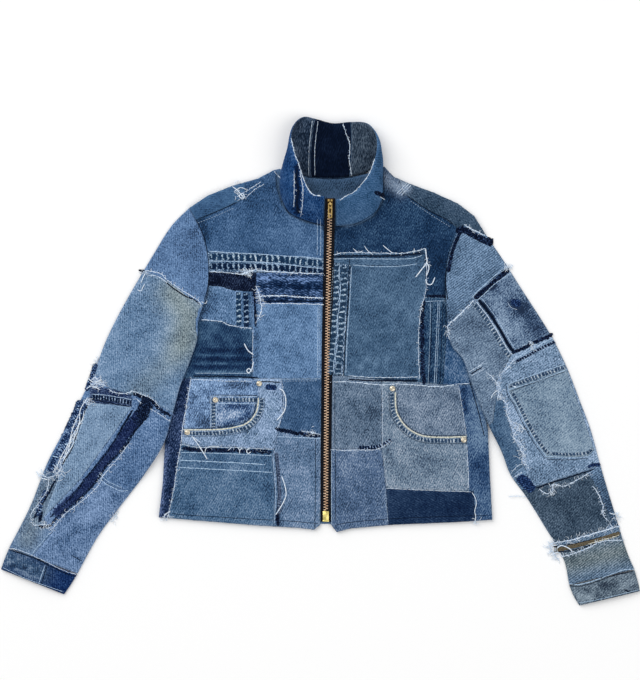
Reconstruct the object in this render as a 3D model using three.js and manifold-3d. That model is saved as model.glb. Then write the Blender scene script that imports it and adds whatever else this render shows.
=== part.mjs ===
// A patched boro denim jacket, laid flat and face up, with its zip closed to the collar.
// Millimetres. +Z is up, +Y runs to the collar, +X to the wearer's left.
// The underside of the back panel is the plane z = 0.
import * as THREE from 'three';
import { mergeVertices } from 'three/addons/utils/BufferGeometryUtils.js';
import Module from 'manifold-3d';

const wasm = await Module();
wasm.setup();

// Driving sizes
const GAP = 0.3;                 // between any two plies or pieces
const BACK_PLY = 1.5;            // the back, a double ply
const PLY = 1.3;                 // one ply of worn denim
const LAYER = PLY + GAP;         // from one patch layer to the next
const FRONT_BOTTOM = BACK_PLY + GAP;
const CELL = 50;                 // grid of the draped front
const SLEEVE_ROWS = 13;
const SLEEVE_COLUMNS = 6;
const SLEEVE_EDGE = 3.2;         // thickness of a flattened sleeve at its folds
const SLEEVE_CROWN = 2.4;        // what its middle adds
const SLEEVE_LIFT = 8;           // height of a sleeve where it lies on the body
const LIFT_START = 4;            // distance from the body at which the sleeve starts down
const LIFT_END = 45;             // and at which it reaches the surface
const CUFF_PLY = 2;
const ZIP_HALF = 8.5;            // half the width of tape that shows between the fronts
const TAPE_PLY = 1;
const CHAIN_HALF = 3.8;
const CHAIN_THICK = 2.2;
const ZIP_BOTTOM = -257;
const NECK_FRONT = 217;          // where the collar starts on the zip
const RIM_FRONT = 262;           // top of the zip
const RIVET_RADIUS = 4.5;
const RIVET_HEIGHT = 2;
const PRISM_DEPTH = 120;

// Outlines that several pieces share
const ARMHOLE_RIGHT = [
  [-210, 245], [-198, 224], [-187, 196], [-180, 166], [-179, 136], [-182, 106], [-191, 82],
];
const ARMHOLE_LEFT = [
  [264, 203], [229, 217], [212, 190], [203, 160], [200, 128], [202, 98], [209, 70],
];
const SIDE_RIGHT = [[-215, 62], [-232, 30], [-240, -30], [-249, -133], [-253, -200], [-259, -250]];
const SIDE_LEFT = [[228, 48], [246, 10], [258, -40], [268, -110], [271, -183], [275, -254]];
const SHOULDER_RIGHT = [[-74, 306], [-100, 292], [-142, 280], [-180, 265]];
const SHOULDER_LEFT = [[102, 311], [117, 295], [142, 284], [180, 270], [220, 252], [246, 232]];
const NECK_RIGHT = [[-24, 221.5], [-49, 232.5], [-62, 250], [-70.5, 280], [-71, 303]];
const NECK_LEFT = [[45, 213.5], [64, 219.5], [86, 232], [99.5, 255], [100.5, 282], [99.5, 310]];
const NECK_BACK = [[-66, 305], [-48, 301.5], [-20, 293], [15, 290.5], [50, 293], [74, 298], [90, 304]];
const HEM_RIGHT = [[-200, -255], [-103, -263], [-36, -267], [-10, -270]];
const HEM_LEFT = [[26, -274], [48, -268], [117, -262], [216, -258]];

// ---------------------------------------------------------------- solids

function solid(geometry) {
  geometry.deleteAttribute('normal');
  geometry.deleteAttribute('uv');
  const merged = mergeVertices(geometry, 1e-4);
  const mesh = new wasm.Mesh({
    numProp: 3,
    vertProperties: new Float32Array(merged.attributes.position.array),
    triVerts: new Uint32Array(merged.index.array),
  });
  return new wasm.Manifold(mesh);
}

function geometryOf(manifold) {
  const mesh = manifold.getMesh();
  const geometry = new THREE.BufferGeometry();
  geometry.setAttribute('position', new THREE.BufferAttribute(mesh.vertProperties, 3));
  geometry.setIndex(new THREE.BufferAttribute(mesh.triVerts, 1));
  geometry.computeVertexNormals();
  return geometry;
}

// A closed geometry from points and triangles, turned so that its faces point out.
function closedGeometry(points, triangles) {
  let volume = 0;
  for (const [a, b, c] of triangles) {
    volume += points[a].dot(new THREE.Vector3().crossVectors(points[b], points[c]));
  }
  const order = volume > 0 ? triangles : triangles.map(([a, b, c]) => [a, c, b]);
  const geometry = new THREE.BufferGeometry();
  geometry.setAttribute('position', new THREE.Float32BufferAttribute(
    points.flatMap((p) => [p.x, p.y, p.z]), 3));
  geometry.setIndex(order.flat());
  geometry.computeVertexNormals();
  return geometry;
}

// A wall between two grids of points, under[i][j] and over[i][j].
function wallBetween(under, over) {
  const rows = under.length;
  const columns = under[0].length;
  const points = [...under.flat(), ...over.flat()];
  const low = (i, j) => i * columns + j;
  const high = (i, j) => rows * columns + i * columns + j;
  const triangles = [];
  for (let i = 0; i < rows - 1; i += 1) {
    for (let j = 0; j < columns - 1; j += 1) {
      triangles.push([high(i, j), high(i + 1, j), high(i + 1, j + 1)]);
      triangles.push([high(i, j), high(i + 1, j + 1), high(i, j + 1)]);
      triangles.push([low(i, j), low(i + 1, j + 1), low(i + 1, j)]);
      triangles.push([low(i, j), low(i, j + 1), low(i + 1, j + 1)]);
    }
  }
  const rim = [];
  for (let i = 0; i < rows - 1; i += 1) rim.push([i, 0]);
  for (let j = 0; j < columns - 1; j += 1) rim.push([rows - 1, j]);
  for (let i = rows - 1; i > 0; i -= 1) rim.push([i, columns - 1]);
  for (let j = columns - 1; j > 0; j -= 1) rim.push([0, j]);
  rim.forEach(([i, j], k) => {
    const [m, n] = rim[(k + 1) % rim.length];
    triangles.push([low(i, j), low(m, n), high(m, n)]);
    triangles.push([low(i, j), high(m, n), high(i, j)]);
  });
  return closedGeometry(points, triangles);
}

// A tube with a wall: rings of points outside and inside, open at both ends.
function hollowTube(outside, inside) {
  const rings = outside.length;
  const count = outside[0].length;
  const points = [...outside.flat(), ...inside.flat()];
  const outer = (i, k) => i * count + (k % count);
  const inner = (i, k) => rings * count + i * count + (k % count);
  const triangles = [];
  for (let k = 0; k < count; k += 1) {
    for (let i = 0; i < rings - 1; i += 1) {
      triangles.push([outer(i, k), outer(i + 1, k), outer(i + 1, k + 1)]);
      triangles.push([outer(i, k), outer(i + 1, k + 1), outer(i, k + 1)]);
      triangles.push([inner(i, k), inner(i + 1, k + 1), inner(i + 1, k)]);
      triangles.push([inner(i, k), inner(i, k + 1), inner(i + 1, k + 1)]);
    }
    const last = rings - 1;
    triangles.push([outer(0, k), outer(0, k + 1), inner(0, k + 1)]);
    triangles.push([outer(0, k), inner(0, k + 1), inner(0, k)]);
    triangles.push([outer(last, k), inner(last, k + 1), outer(last, k + 1)]);
    triangles.push([outer(last, k), inner(last, k), inner(last, k + 1)]);
  }
  return closedGeometry(points, triangles);
}

// ---------------------------------------------------------------- outlines

// The outline moved in by a distance, corner by corner.
function inset(outline, distance) {
  const area = THREE.ShapeUtils.area(outline.map(([x, y]) => new THREE.Vector2(x, y)));
  const ring = area > 0 ? outline : [...outline].reverse();
  return ring.map((corner, k) => {
    const before = ring[(k + ring.length - 1) % ring.length];
    const after = ring[(k + 1) % ring.length];
    const a = new THREE.Vector2(corner[0] - before[0], corner[1] - before[1]).normalize();
    const b = new THREE.Vector2(after[0] - corner[0], after[1] - corner[1]).normalize();
    const bisector = new THREE.Vector2(-a.y - b.y, a.x + b.x);
    const reach = (2 * distance) / Math.max(bisector.lengthSq(), 0.4);
    return [corner[0] + bisector.x * reach, corner[1] + bisector.y * reach];
  });
}

function prism(outline) {
  const shape = new THREE.Shape(outline.map(([x, y]) => new THREE.Vector2(x, y)));
  const geometry = new THREE.ExtrudeGeometry(shape, { depth: PRISM_DEPTH, bevelEnabled: false });
  geometry.translate(0, 0, -PRISM_DEPTH / 2);
  return solid(geometry);
}

function smoothStep(low, high, value) {
  const t = Math.min(Math.max((value - low) / (high - low), 0), 1);
  return t * t * (3 - 2 * t);
}

function distanceToSegment(x, y, [ax, ay], [bx, by]) {
  const along = ((x - ax) * (bx - ax) + (y - ay) * (by - ay)) / ((bx - ax) ** 2 + (by - ay) ** 2);
  const t = Math.min(Math.max(along, 0), 1);
  return Math.hypot(x - ax - t * (bx - ax), y - ay - t * (by - ay));
}

// How far a point lies outside a closed outline, 0 inside it.
function distanceOutside(outline, x, y) {
  let inside = false;
  let nearest = Infinity;
  outline.forEach((a, k) => {
    const b = outline[(k + 1) % outline.length];
    nearest = Math.min(nearest, distanceToSegment(x, y, a, b));
    if (a[1] > y !== b[1] > y && x < ((b[0] - a[0]) * (y - a[1])) / (b[1] - a[1]) + a[0]) {
      inside = !inside;
    }
  });
  return inside ? 0 : nearest;
}

// ---------------------------------------------------------------- the parts list

const group = new THREE.Group();

function add(name, geometry, colour, roughness = 0.9, metalness = 0, parent = group) {
  const material = new THREE.MeshStandardMaterial({ color: colour, roughness, metalness });
  const mesh = new THREE.Mesh(geometry, material);
  mesh.name = name;
  parent.add(mesh);
  return mesh;
}

// ---------------------------------------------------------------- zip line and fronts

// The zip leans a little to the wearer's left on its way up.
function zipX(y) {
  const climb = Math.max((y - ZIP_BOTTOM) / (RIM_FRONT - ZIP_BOTTOM), 0);
  return 8.5 + 7 * climb ** 1.8;
}

function centreEdge(side) {
  return [NECK_FRONT - 1, 130, 40, -60, -160, -262].map((y) => [zipX(y) + side * ZIP_HALF, y]);
}

const FRONT_RIGHT = [
  ...NECK_RIGHT, ...SHOULDER_RIGHT, ...ARMHOLE_RIGHT, ...SIDE_RIGHT, ...HEM_RIGHT,
  ...centreEdge(-1).reverse(),
];
const FRONT_LEFT = [
  ...centreEdge(1), ...HEM_LEFT, ...[...SIDE_LEFT].reverse(), ...[...ARMHOLE_LEFT].reverse(),
  ...[...SHOULDER_LEFT].reverse(), ...[...NECK_LEFT].reverse(),
];
const BACK = [
  ...NECK_BACK, ...SHOULDER_LEFT, ...ARMHOLE_LEFT, ...SIDE_LEFT, [117, -260], [-103, -261],
  ...[...SIDE_RIGHT].reverse(), ...[...ARMHOLE_RIGHT].reverse(), ...[...SHOULDER_RIGHT].reverse(),
];

// How far the front stands off the back at a grid point.
function drape(x, y) {
  return 1.1 + 0.55 * Math.sin(x / 47 + 0.6) * Math.cos(y / 61) + 0.4 * Math.sin(x / 83 - y / 72);
}

// The same drape between grid points, on the two triangles of a cell.
function drapeOnGrid(x, y) {
  const i = Math.floor(x / CELL);
  const j = Math.floor(y / CELL);
  const u = x / CELL - i;
  const v = y / CELL - j;
  const at = (m, n) => drape((i + m) * CELL, (j + n) * CELL);
  if (u > v) return at(0, 0) + u * (at(1, 0) - at(0, 0)) + v * (at(1, 1) - at(1, 0));
  return at(0, 0) + u * (at(1, 1) - at(0, 1)) + v * (at(0, 1) - at(0, 0));
}

// The draped front's ply number `layer`, cut to an outline and to its front panel.
function frontPly(outline, panel, layer) {
  const xs = outline.map(([x]) => x);
  const ys = outline.map(([, y]) => y);
  const bottom = FRONT_BOTTOM + layer * LAYER;
  const under = [];
  const over = [];
  for (let i = Math.floor(Math.min(...xs) / CELL); i <= Math.ceil(Math.max(...xs) / CELL); i += 1) {
    const low = [];
    const high = [];
    for (let j = Math.floor(Math.min(...ys) / CELL); j <= Math.ceil(Math.max(...ys) / CELL); j += 1) {
      const z = bottom + drape(i * CELL, j * CELL);
      low.push(new THREE.Vector3(i * CELL, j * CELL, z));
      high.push(new THREE.Vector3(i * CELL, j * CELL, z + PLY));
    }
    under.push(low);
    over.push(high);
  }
  const cut = solid(wallBetween(under, over)).intersect(prism(inset(outline, GAP / 2)));
  return geometryOf(layer === 0 ? cut : cut.intersect(prism(inset(panel, GAP))));
}

function makeBack() {
  const shape = new THREE.Shape(inset(BACK, GAP).map(([x, y]) => new THREE.Vector2(x, y)));
  add('back', new THREE.ExtrudeGeometry(shape, { depth: BACK_PLY, bevelEnabled: false }), '#4f6a8c');
}

function makeFronts() {
  add('front_right', frontPly(FRONT_RIGHT, FRONT_RIGHT, 0), '#4a6890');
  add('front_left', frontPly(FRONT_LEFT, FRONT_LEFT, 0), '#3b5b80');
}

// Patches sewn on the right front: [name, layer, colour, outline].
const POCKET_CURVE_RIGHT = [
  [-99.5, -32], [-100, -71], [-111, -94], [-138, -106], [-182, -110], [-219, -110],
];
const RIGHT_PATCHES = [
  ['yoke_right', 1, '#4b6c90', [
    [-222, 250], [-198, 224], [-175, 235], [-132, 254], [-120, 262], [-122, 300]]],
  ['gathered_band_right', 1, '#54749c', [
    [-190, 174], [-142, 172], [-60, 167], [12, 164], [12, 142], [-103, 141], [-190, 143]]],
  ['black_patch_right', 1, '#1b2138', [
    [-190, 143], [-103, 141], [-103, 111], [-140, 113], [-159, 119], [-190, 122]]],
  ['streaked_band_right', 1, '#2f4c70', [
    [-103, 141], [12, 142], [12, 92], [-109, 92], [-109, 111], [-103, 111]]],
  ['light_side_patch_right', 1, '#7f9cc4', [
    [-190, 122], [-159, 119], [-140, 113], [-109, 111], [-109, 52], [-134, 55], [-157, 63],
    [-240, 66]]],
  ['large_patch_right', 1, '#7493bd', [[-109, 92], [12, 92], [12, -28], [-109, -28]]],
  ['teal_patch_right', 1, '#2b4a66', [
    [-240, 66], [-157, 63], [-134, 55], [-109, 52], [-109, -28], [-207, -28], [-255, -28]]],
  ['side_strip_right', 1, '#1f2c4c', [
    [-270, -28], [-207, -28], [-219, -110], [-222, -131], [-232, -189], [-246, -262], [-270, -262]]],
  ['pocket_facing_right', 1, '#8396b0', [[-207, -28], [-109, -28], ...POCKET_CURVE_RIGHT]],
  ['jeans_front_right', 1, '#7590b4', [
    ...[...POCKET_CURVE_RIGHT].reverse(), [-109, -28], [-62, -28], [-60, -80], [-66, -108],
    [-74, -141], [-135, -137], [-194, -137], [-222, -131]]],
  ['coin_pocket_right', 2, '#8b9cb4', [
    [-174, -57], [-103, -57], [-104, -72], [-114, -91], [-139, -102], [-174, -106]]],
  ['centre_patch_right', 1, '#2f4d74', [
    [-62, -28], [12, -28], [12, -120], [-35, -115], [-66, -108], [-60, -80]]],
  ['lower_centre_patch_right', 1, '#5d7ca4', [
    [-66, -108], [-35, -115], [12, -120], [12, -280], [-75, -280], [-73, -213], [-77, -151],
    [-74, -141]]],
  ['hem_patch_right', 1, '#3f5e86', [
    [-222, -131], [-194, -137], [-135, -137], [-74, -141], [-77, -151], [-73, -213], [-75, -280],
    [-246, -280], [-246, -262], [-232, -189]]],
];

const POCKET_CURVE_LEFT = [
  [119.6, -32], [120, -69], [128, -94], [153, -116], [201, -122], [234, -121],
];
const LEFT_PATCHES = [
  ['yoke_left', 1, '#4e6a86', [
    [132, 268], [162, 247], [199, 227], [219, 213], [229, 217], [272, 200], [256, 240],
    [124, 298]]],
  ['top_trim_left', 1, '#456890', [
    [16, 172], [50, 173], [130, 172], [168, 179], [167, 160], [155, 155], [126, 152], [49, 153],
    [16, 158]]],
  ['gathered_strip_left', 1, '#58789f', [
    [16, 158], [49, 153], [45, 100], [40, 30], [37, -24], [10, -22]]],
  ['large_patch_left', 1, '#4b6d98', [
    [49, 153], [126, 152], [155, 155], [167, 160], [169, 116], [168, 104], [159, 79], [157, 46],
    [157, 6], [160, -34], [98, -30], [37, -24], [40, 30], [45, 100]]],
  ['side_panel_left', 1, '#35557d', [
    [168, 104], [203, 104], [201, 40], [196, -38], [160, -34], [157, 6], [157, 46], [159, 79]]],
  ['side_patch_left', 1, '#3a5f8a', [
    [203, 104], [240, 104], [280, 0], [280, -38], [220, -38], [196, -38], [201, 40]]],
  ['centre_patch_left', 1, '#4c6684', [[10, -22], [37, -24], [98, -30], [98, -141], [10, -141]]],
  ['pocket_facing_left', 1, '#6f86a6', [
    [160, -34], [196, -38], [220, -38], [227, -78], ...[...POCKET_CURVE_LEFT].reverse()]],
  ['jeans_front_left', 1, '#6c84a4', [
    [98, -30], ...POCKET_CURVE_LEFT, [237, -208], [167, -206], [105, -203], [98, -141]]],
  ['side_strip_left', 1, '#2b4470', [
    [220, -38], [285, -38], [285, -275], [249, -275], [245, -208], [237, -208], [234, -121],
    [227, -78]]],
  ['lower_centre_patch_left', 1, '#4e6c90', [
    [10, -141], [98, -141], [105, -203], [110, -280], [10, -280]]],
  ['hem_patch_left', 1, '#202f58', [
    [105, -203], [167, -206], [237, -208], [245, -208], [249, -280], [110, -280]]],
];

function makeFrontPatches() {
  for (const [name, layer, colour, outline] of RIGHT_PATCHES) {
    add(name, frontPly(outline, FRONT_RIGHT, layer), colour);
  }
  for (const [name, layer, colour, outline] of LEFT_PATCHES) {
    add(name, frontPly(outline, FRONT_LEFT, layer), colour);
  }
}

// ---------------------------------------------------------------- collar

// Stations round the collar from the right end of the zip to its left end:
// [neck seam, half height, rim], each [x, y, z].
const COLLAR = [
  [[5.4, 217, 4], [5.8, 238, 27], [6.4, 262, 42]],
  [[-22, 224, 4], [-24, 247, 27], [-14, 268, 43]],
  [[-47, 235, 4], [-43, 262, 27], [-26, 286, 43]],
  [[-60, 252, 4], [-55, 284, 27], [-35, 315, 42]],
  [[-68, 282, 4], [-62, 310, 25], [-43, 336, 40]],
  [[-63, 307, 4], [-59, 337, 22], [-48, 357, 33]],
  [[-48, 304, 2.5], [-56, 354, 15], [-44, 379, 22]],
  [[-30, 297.5, 2], [-36, 348, 5], [-26, 390, 10]],
  [[-14.5, 294.5, 2], [-14, 342, 4], [-8, 387, 8]],
  [[15, 293, 2], [16, 340, 4], [20, 380, 8]],
  [[46, 295, 2], [49, 340, 4], [48, 382, 8]],
  [[70, 300, 2], [76, 345, 6], [73, 380, 12]],
  [[88, 307, 2.5], [93, 345, 15], [86, 366, 23]],
  [[97, 308, 4], [97, 332, 22], [90, 346, 34]],
  [[98, 282, 4], [96, 306, 26], [86, 320, 41]],
  [[97, 256, 4], [93, 280, 27], [73, 291, 43]],
  [[84, 234, 4], [77, 256, 27], [57, 272, 43]],
  [[62, 222, 4], [57, 243, 27], [40, 262, 43]],
  [[23.8, 216, 4], [24.2, 237, 27], [24.8, 257, 42]],
];
const COLLAR_BACK = 9;           // station at the middle of the back
const COLLAR_SEAM_RIGHT = 8;     // stations of the seams inside
const COLLAR_SEAM_LEFT = 10;
const COLLAR_RISE = 4;           // steps from neck seam to rim
const COLLAR_STEP = 0.5;         // of a station

const collarRails = [0, 1, 2].map((level) => new THREE.CatmullRomCurve3(
  COLLAR.map((station) => new THREE.Vector3(...station[level]))));

function collarPoint(station, rise) {
  const t = Math.min(Math.max(station / (COLLAR.length - 1), 0), 1);
  const [seam, middle, rim] = collarRails.map((rail) => rail.getPoint(t));
  return seam.multiplyScalar((1 - rise) * (1 - 2 * rise))
    .addScaledVector(middle, 4 * rise * (1 - rise))
    .addScaledVector(rim, rise * (2 * rise - 1));
}

// Points out of the collar, away from the neck.
function collarNormal(station, rise) {
  const step = 0.02;
  const round = collarPoint(station + step, rise).sub(collarPoint(station - step, rise));
  const up = collarPoint(station, Math.min(rise + step, 1))
    .sub(collarPoint(station, Math.max(rise - step, 0)));
  return up.cross(round).normalize();
}

function collarPly(first, last, low, high) {
  const stations = [first];
  for (let k = Math.floor(first / COLLAR_STEP) + 1; k * COLLAR_STEP < last; k += 1) {
    stations.push(k * COLLAR_STEP);
  }
  stations.push(last);
  const grids = [low, high].map((offset) => {
    const grid = [];
    for (const station of stations) {
      const row = [];
      for (let j = 0; j <= COLLAR_RISE; j += 1) {
        const rise = j / COLLAR_RISE;
        row.push(collarPoint(station, rise)
          .addScaledVector(collarNormal(station, rise), offset));
      }
      grid.push(row);
    }
    return grid;
  });
  return wallBetween(...grids);
}

function makeCollar() {
  const end = COLLAR.length - 1;
  const joint = 0.02;            // half a seam gap, in stations
  const out = [GAP / 2, GAP / 2 + PLY];
  const inside = [-GAP / 2 - PLY, -GAP / 2];
  add('collar_outer_right', collarPly(0, COLLAR_BACK - joint, ...out), '#3c5f9c');
  add('collar_outer_left', collarPly(COLLAR_BACK + joint, end, ...out), '#5d7dae');
  add('collar_inner_right', collarPly(0, COLLAR_SEAM_RIGHT - joint, ...inside), '#4a5f7c');
  add('collar_inner_back',
    collarPly(COLLAR_SEAM_RIGHT + joint, COLLAR_SEAM_LEFT - joint, ...inside), '#151c33');
  add('collar_inner_left', collarPly(COLLAR_SEAM_LEFT + joint, end, ...inside), '#5b7086');
}

// ---------------------------------------------------------------- zip

// Points on the zip line, up the front and then up the slope of the collar.
function zipPoint(y) {
  if (y <= NECK_FRONT - 12) {
    return new THREE.Vector3(zipX(y), y, FRONT_BOTTOM + drapeOnGrid(zipX(y), y));
  }
  const rise = (y - (NECK_FRONT - 12)) / (RIM_FRONT - NECK_FRONT + 12);
  const start = FRONT_BOTTOM + drapeOnGrid(zipX(NECK_FRONT - 12), NECK_FRONT - 12);
  return new THREE.Vector3(zipX(y), y, start + (41 - start) * (1.3 * rise - 0.3 * rise ** 4));
}

function zipNormal(y) {
  const along = zipPoint(y + 2).sub(zipPoint(y - 2));
  return new THREE.Vector3(0, -along.z, along.y).normalize();
}

// A strip along the zip line, from one offset to another across it.
function zipStrip(from, to, left, right, low, high) {
  const stops = [...[-205, -155, -105, -55, -5, 45, 95, 145, 190], 205, 217, 228, 238, 250]
    .filter((y) => y > from + 4 && y < to - 4);
  const grids = [low, high].map((offset) => [from, ...stops, to].map((y) => [left, right]
    .map((x) => zipPoint(y).addScaledVector(zipNormal(y), offset)
      .add(new THREE.Vector3(x, 0, 0)))));
  return wallBetween(...grids);
}

const SLIDER_LENGTH = 15;
const SLIDER_WIDTH = 9.4;
const SLIDER_THICK = 4.4;
const SLIDER_Y = 253;
const BOX_LENGTH = 17;
const PIN_RADIUS = 0.8;
const PIN_HEIGHT = 1.7;          // pin axis above the slider's top
const CROWN_HALF = 1.2;
const PULL_LENGTH = 24;
const PULL_WIDTH = 6.4;
const PULL_THICK = 1.3;

function box(width, length, height, x, y, z) {
  const geometry = new THREE.BoxGeometry(width, length, height);
  geometry.translate(x, y, z);
  return solid(geometry);
}

// A shield with a closed eye on top, which the pull's pin goes through.
function sliderGeometry() {
  const half = SLIDER_WIDTH / 2;
  const shield = new THREE.Shape([
    [-half + 1, -SLIDER_LENGTH / 2], [half - 1, -SLIDER_LENGTH / 2], [half - 1.2, -1], [half, 3],
    [half - 0.6, SLIDER_LENGTH / 2 - 1], [1.6, SLIDER_LENGTH / 2], [-1.6, SLIDER_LENGTH / 2],
    [-half + 0.6, SLIDER_LENGTH / 2 - 1], [-half, 3], [-half + 1.2, -1],
  ].map(([x, y]) => new THREE.Vector2(x, y)));
  const body = solid(new THREE.ExtrudeGeometry(shield, {
    depth: SLIDER_THICK, bevelEnabled: false,
  }));
  const eyeTop = SLIDER_THICK + PIN_HEIGHT + PIN_RADIUS + 1.2;
  const eye = box(2 * CROWN_HALF, 6.4, eyeTop - 3, 0, 0, (eyeTop + 3) / 2);
  const hole = box(4 * CROWN_HALF, 3.2, 2 * PIN_RADIUS + 1, 0, 0, SLIDER_THICK + PIN_HEIGHT);
  return geometryOf(body.add(eye).subtract(hole));
}

// A flat tab on two arms with a pin between them; the pin is on the x axis at the origin.
function pullGeometry() {
  const pin = new THREE.CylinderGeometry(PIN_RADIUS, PIN_RADIUS, PULL_WIDTH - 1, 8);
  pin.rotateZ(Math.PI / 2);
  const arm = PULL_WIDTH / 2 - 0.8;
  const tab = box(PULL_WIDTH, PULL_LENGTH - 6, PULL_THICK, 0, -6 - (PULL_LENGTH - 6) / 2, 0);
  const hole = box(3, 5, 2 * PULL_THICK, 0, -PULL_LENGTH + 4.5, 0);
  const arms = [-arm, arm].map((x) => box(1.6, 7.6, PULL_THICK, x, -2.9, 0));
  return geometryOf(solid(pin).add(arms[0]).add(arms[1]).add(tab).subtract(hole));
}

function makeZip() {
  const black = '#14161c';
  const brass = '#a9814a';
  add('zip_tape_right', zipStrip(ZIP_BOTTOM, RIM_FRONT - 2, -ZIP_HALF + 0.7, -0.2, 0, TAPE_PLY),
    black);
  add('zip_tape_left', zipStrip(ZIP_BOTTOM, RIM_FRONT - 2, 0.2, ZIP_HALF - 0.7, 0, TAPE_PLY),
    black);
  const onTape = TAPE_PLY + GAP;
  add('zip_chain', zipStrip(ZIP_BOTTOM + BOX_LENGTH + 1, SLIDER_Y - SLIDER_LENGTH / 2 - 0.6,
    -CHAIN_HALF, CHAIN_HALF, onTape, onTape + CHAIN_THICK), brass, 0.45, 0.9);
  add('zip_box', zipStrip(ZIP_BOTTOM, ZIP_BOTTOM + BOX_LENGTH, -4.8, 4.8, onTape, onTape + 4),
    brass, 0.35, 0.95);
  const slope = new THREE.Group();
  const normal = zipNormal(SLIDER_Y);
  slope.position.copy(zipPoint(SLIDER_Y)).addScaledVector(normal, onTape + 0.4);
  slope.rotation.x = Math.atan2(-normal.y, normal.z);
  group.add(slope);
  add('zip_slider', sliderGeometry(), '#b08a4e', 0.35, 0.95, slope);
  const pull = add('zip_pull', pullGeometry(), '#c3a05e', 0.3, 0.95, slope);
  pull.position.set(0, 0, SLIDER_THICK + PIN_HEIGHT);
}

// ---------------------------------------------------------------- rivets

// [name, x, y, patch layer below it]
const RIVETS = [
  ['rivet_right_top', -98, -36, 1],
  ['rivet_right_coin', -168, -62, 2],
  ['rivet_right_side', -213, -114, 1],
  ['rivet_left_top', 115, -44, 1],
  ['rivet_left_side', 229, -126, 1],
];

function makeRivets() {
  const profile = [
    [0, 0], [RIVET_RADIUS, 0], [RIVET_RADIUS, 0.7], [RIVET_RADIUS - 1.2, 1.3], [1.6, RIVET_HEIGHT],
    [0, RIVET_HEIGHT],
  ].map(([x, y]) => new THREE.Vector2(x, y));
  for (const [name, x, y, layer] of RIVETS) {
    const dome = new THREE.LatheGeometry(profile, 12);
    dome.rotateX(Math.PI / 2);
    const top = FRONT_BOTTOM + layer * LAYER + PLY + drapeOnGrid(x, y);
    const rivet = add(name, geometryOf(solid(dome)), '#b3a27c', 0.4, 0.9);
    rivet.position.set(x, y, top + 0.5);
  }
}

// ---------------------------------------------------------------- sleeves and cuffs

// The part of the body that each sleeve lies over.
const UNDER_RIGHT_SLEEVE = [
  ARMHOLE_RIGHT[5], [-150, 106], [-150, -255], ...[...SIDE_RIGHT].reverse(),
];
const UNDER_LEFT_SLEEVE = [
  ARMHOLE_LEFT[5], [150, 98], [150, -255], ...[...SIDE_LEFT].reverse(),
];

const SLEEVES = {
  right: {
    armhole: ARMHOLE_RIGHT,
    under: UNDER_RIGHT_SLEEVE,
    outer: [
      [-210, 245], [-239, 215], [-268, 169], [-312, 94], [-342, 35], [-365, -24], [-397, -88],
      [-436, -161], [-464, -232], [-498, -299]],
    inner: [
      [-191, 82], [-196, 60], [-197, 34], [-209, -2], [-224, -40], [-236, -84], [-251, -133],
      [-282, -182], [-324, -237], [-357, -282], [-389, -340]],
    cuff: [[[-498.4, -300], [-389.4, -341]], [[-505, -316], [-399, -357]], [[-511, -333], [-410, -373]]],
  },
  left: {
    armhole: ARMHOLE_LEFT,
    under: UNDER_LEFT_SLEEVE,
    outer: [
      [264, 203], [295, 157], [321, 116], [365, 47], [393, -8], [416, -67], [432, -110],
      [446, -161], [461, -212], [488, -299], [502, -333]],
    inner: [
      [209, 70], [204, 50], [210, 24], [228, 2], [240, -32], [267, -99], [289, -144],
      [304, -182], [329, -217], [357, -262], [388, -315], [398, -358]],
    cuff: [[[502.2, -334.5], [398.2, -359.5]], [[507, -351], [405, -376]], [[511, -368], [414, -391]]],
  },
};

function liftOver(outline, x, y) {
  const away = smoothStep(LIFT_START, LIFT_END, distanceOutside(outline, x, y));
  return SLEEVE_LIFT * (1 - away);
}

// Rows of plan points across a sleeve, from the armhole to the wrist.
function sleevePlan({ armhole, outer, inner }) {
  const curves = [outer, inner].map((points) => new THREE.SplineCurve(
    points.map(([x, y]) => new THREE.Vector2(x, y))));
  const rows = [armhole.map(([x, y]) => new THREE.Vector2(x, y))];
  for (let i = 1; i < SLEEVE_ROWS; i += 1) {
    const [a, b] = curves.map((curve) => curve.getPointAt(i / (SLEEVE_ROWS - 1)));
    rows.push(Array.from({ length: SLEEVE_COLUMNS + 1 }, (_, k) => a.clone()
      .lerp(b, k / SLEEVE_COLUMNS)));
  }
  return rows;
}

function crownAt(k, columns) {
  return SLEEVE_EDGE + SLEEVE_CROWN * Math.sin((Math.PI * k) / columns) ** 0.7;
}

// A flattened tube over rows of plan points, with a floor height for each point.
function flatTube(plan, floor, ply, edgeExtra = 0) {
  const outside = [];
  const inside = [];
  for (const row of plan) {
    const last = row.length - 1;
    const thick = row.map((_, k) => crownAt(k, last) + edgeExtra);
    const inward = row[last].clone().sub(row[0]).normalize().multiplyScalar(ply);
    const pulled = row.map((p, k) => {
      if (k === 0) return p.clone().add(inward);
      return k === last ? p.clone().sub(inward) : p;
    });
    const bottom = row.map((p) => new THREE.Vector3(p.x, p.y, floor(p.x, p.y)));
    const top = row.map((p, k) => new THREE.Vector3(p.x, p.y, floor(p.x, p.y) + thick[k]));
    const lining = pulled.map((p, k) => new THREE.Vector3(
      p.x, p.y, floor(row[k].x, row[k].y) + ply));
    const ceiling = pulled.map((p, k) => new THREE.Vector3(
      p.x, p.y, floor(row[k].x, row[k].y) + thick[k] - ply));
    outside.push([...top, ...bottom.reverse()]);
    inside.push([...ceiling, ...lining.reverse()]);
  }
  return hollowTube(outside, inside);
}

// A patch on a sleeve: the sleeve's upper points moved up, cut to an outline.
function sleevePatch(plan, floor, outline, layer) {
  const low = GAP + (layer - 1) * LAYER;
  const grids = [low, low + PLY].map((offset) => plan.map((row) => row
    .map((p, k) => new THREE.Vector3(
      p.x, p.y, floor(p.x, p.y) + crownAt(k, row.length - 1) + offset))));
  return geometryOf(solid(wallBetween(...grids)).intersect(prism(inset(outline, GAP / 2))));
}

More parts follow.
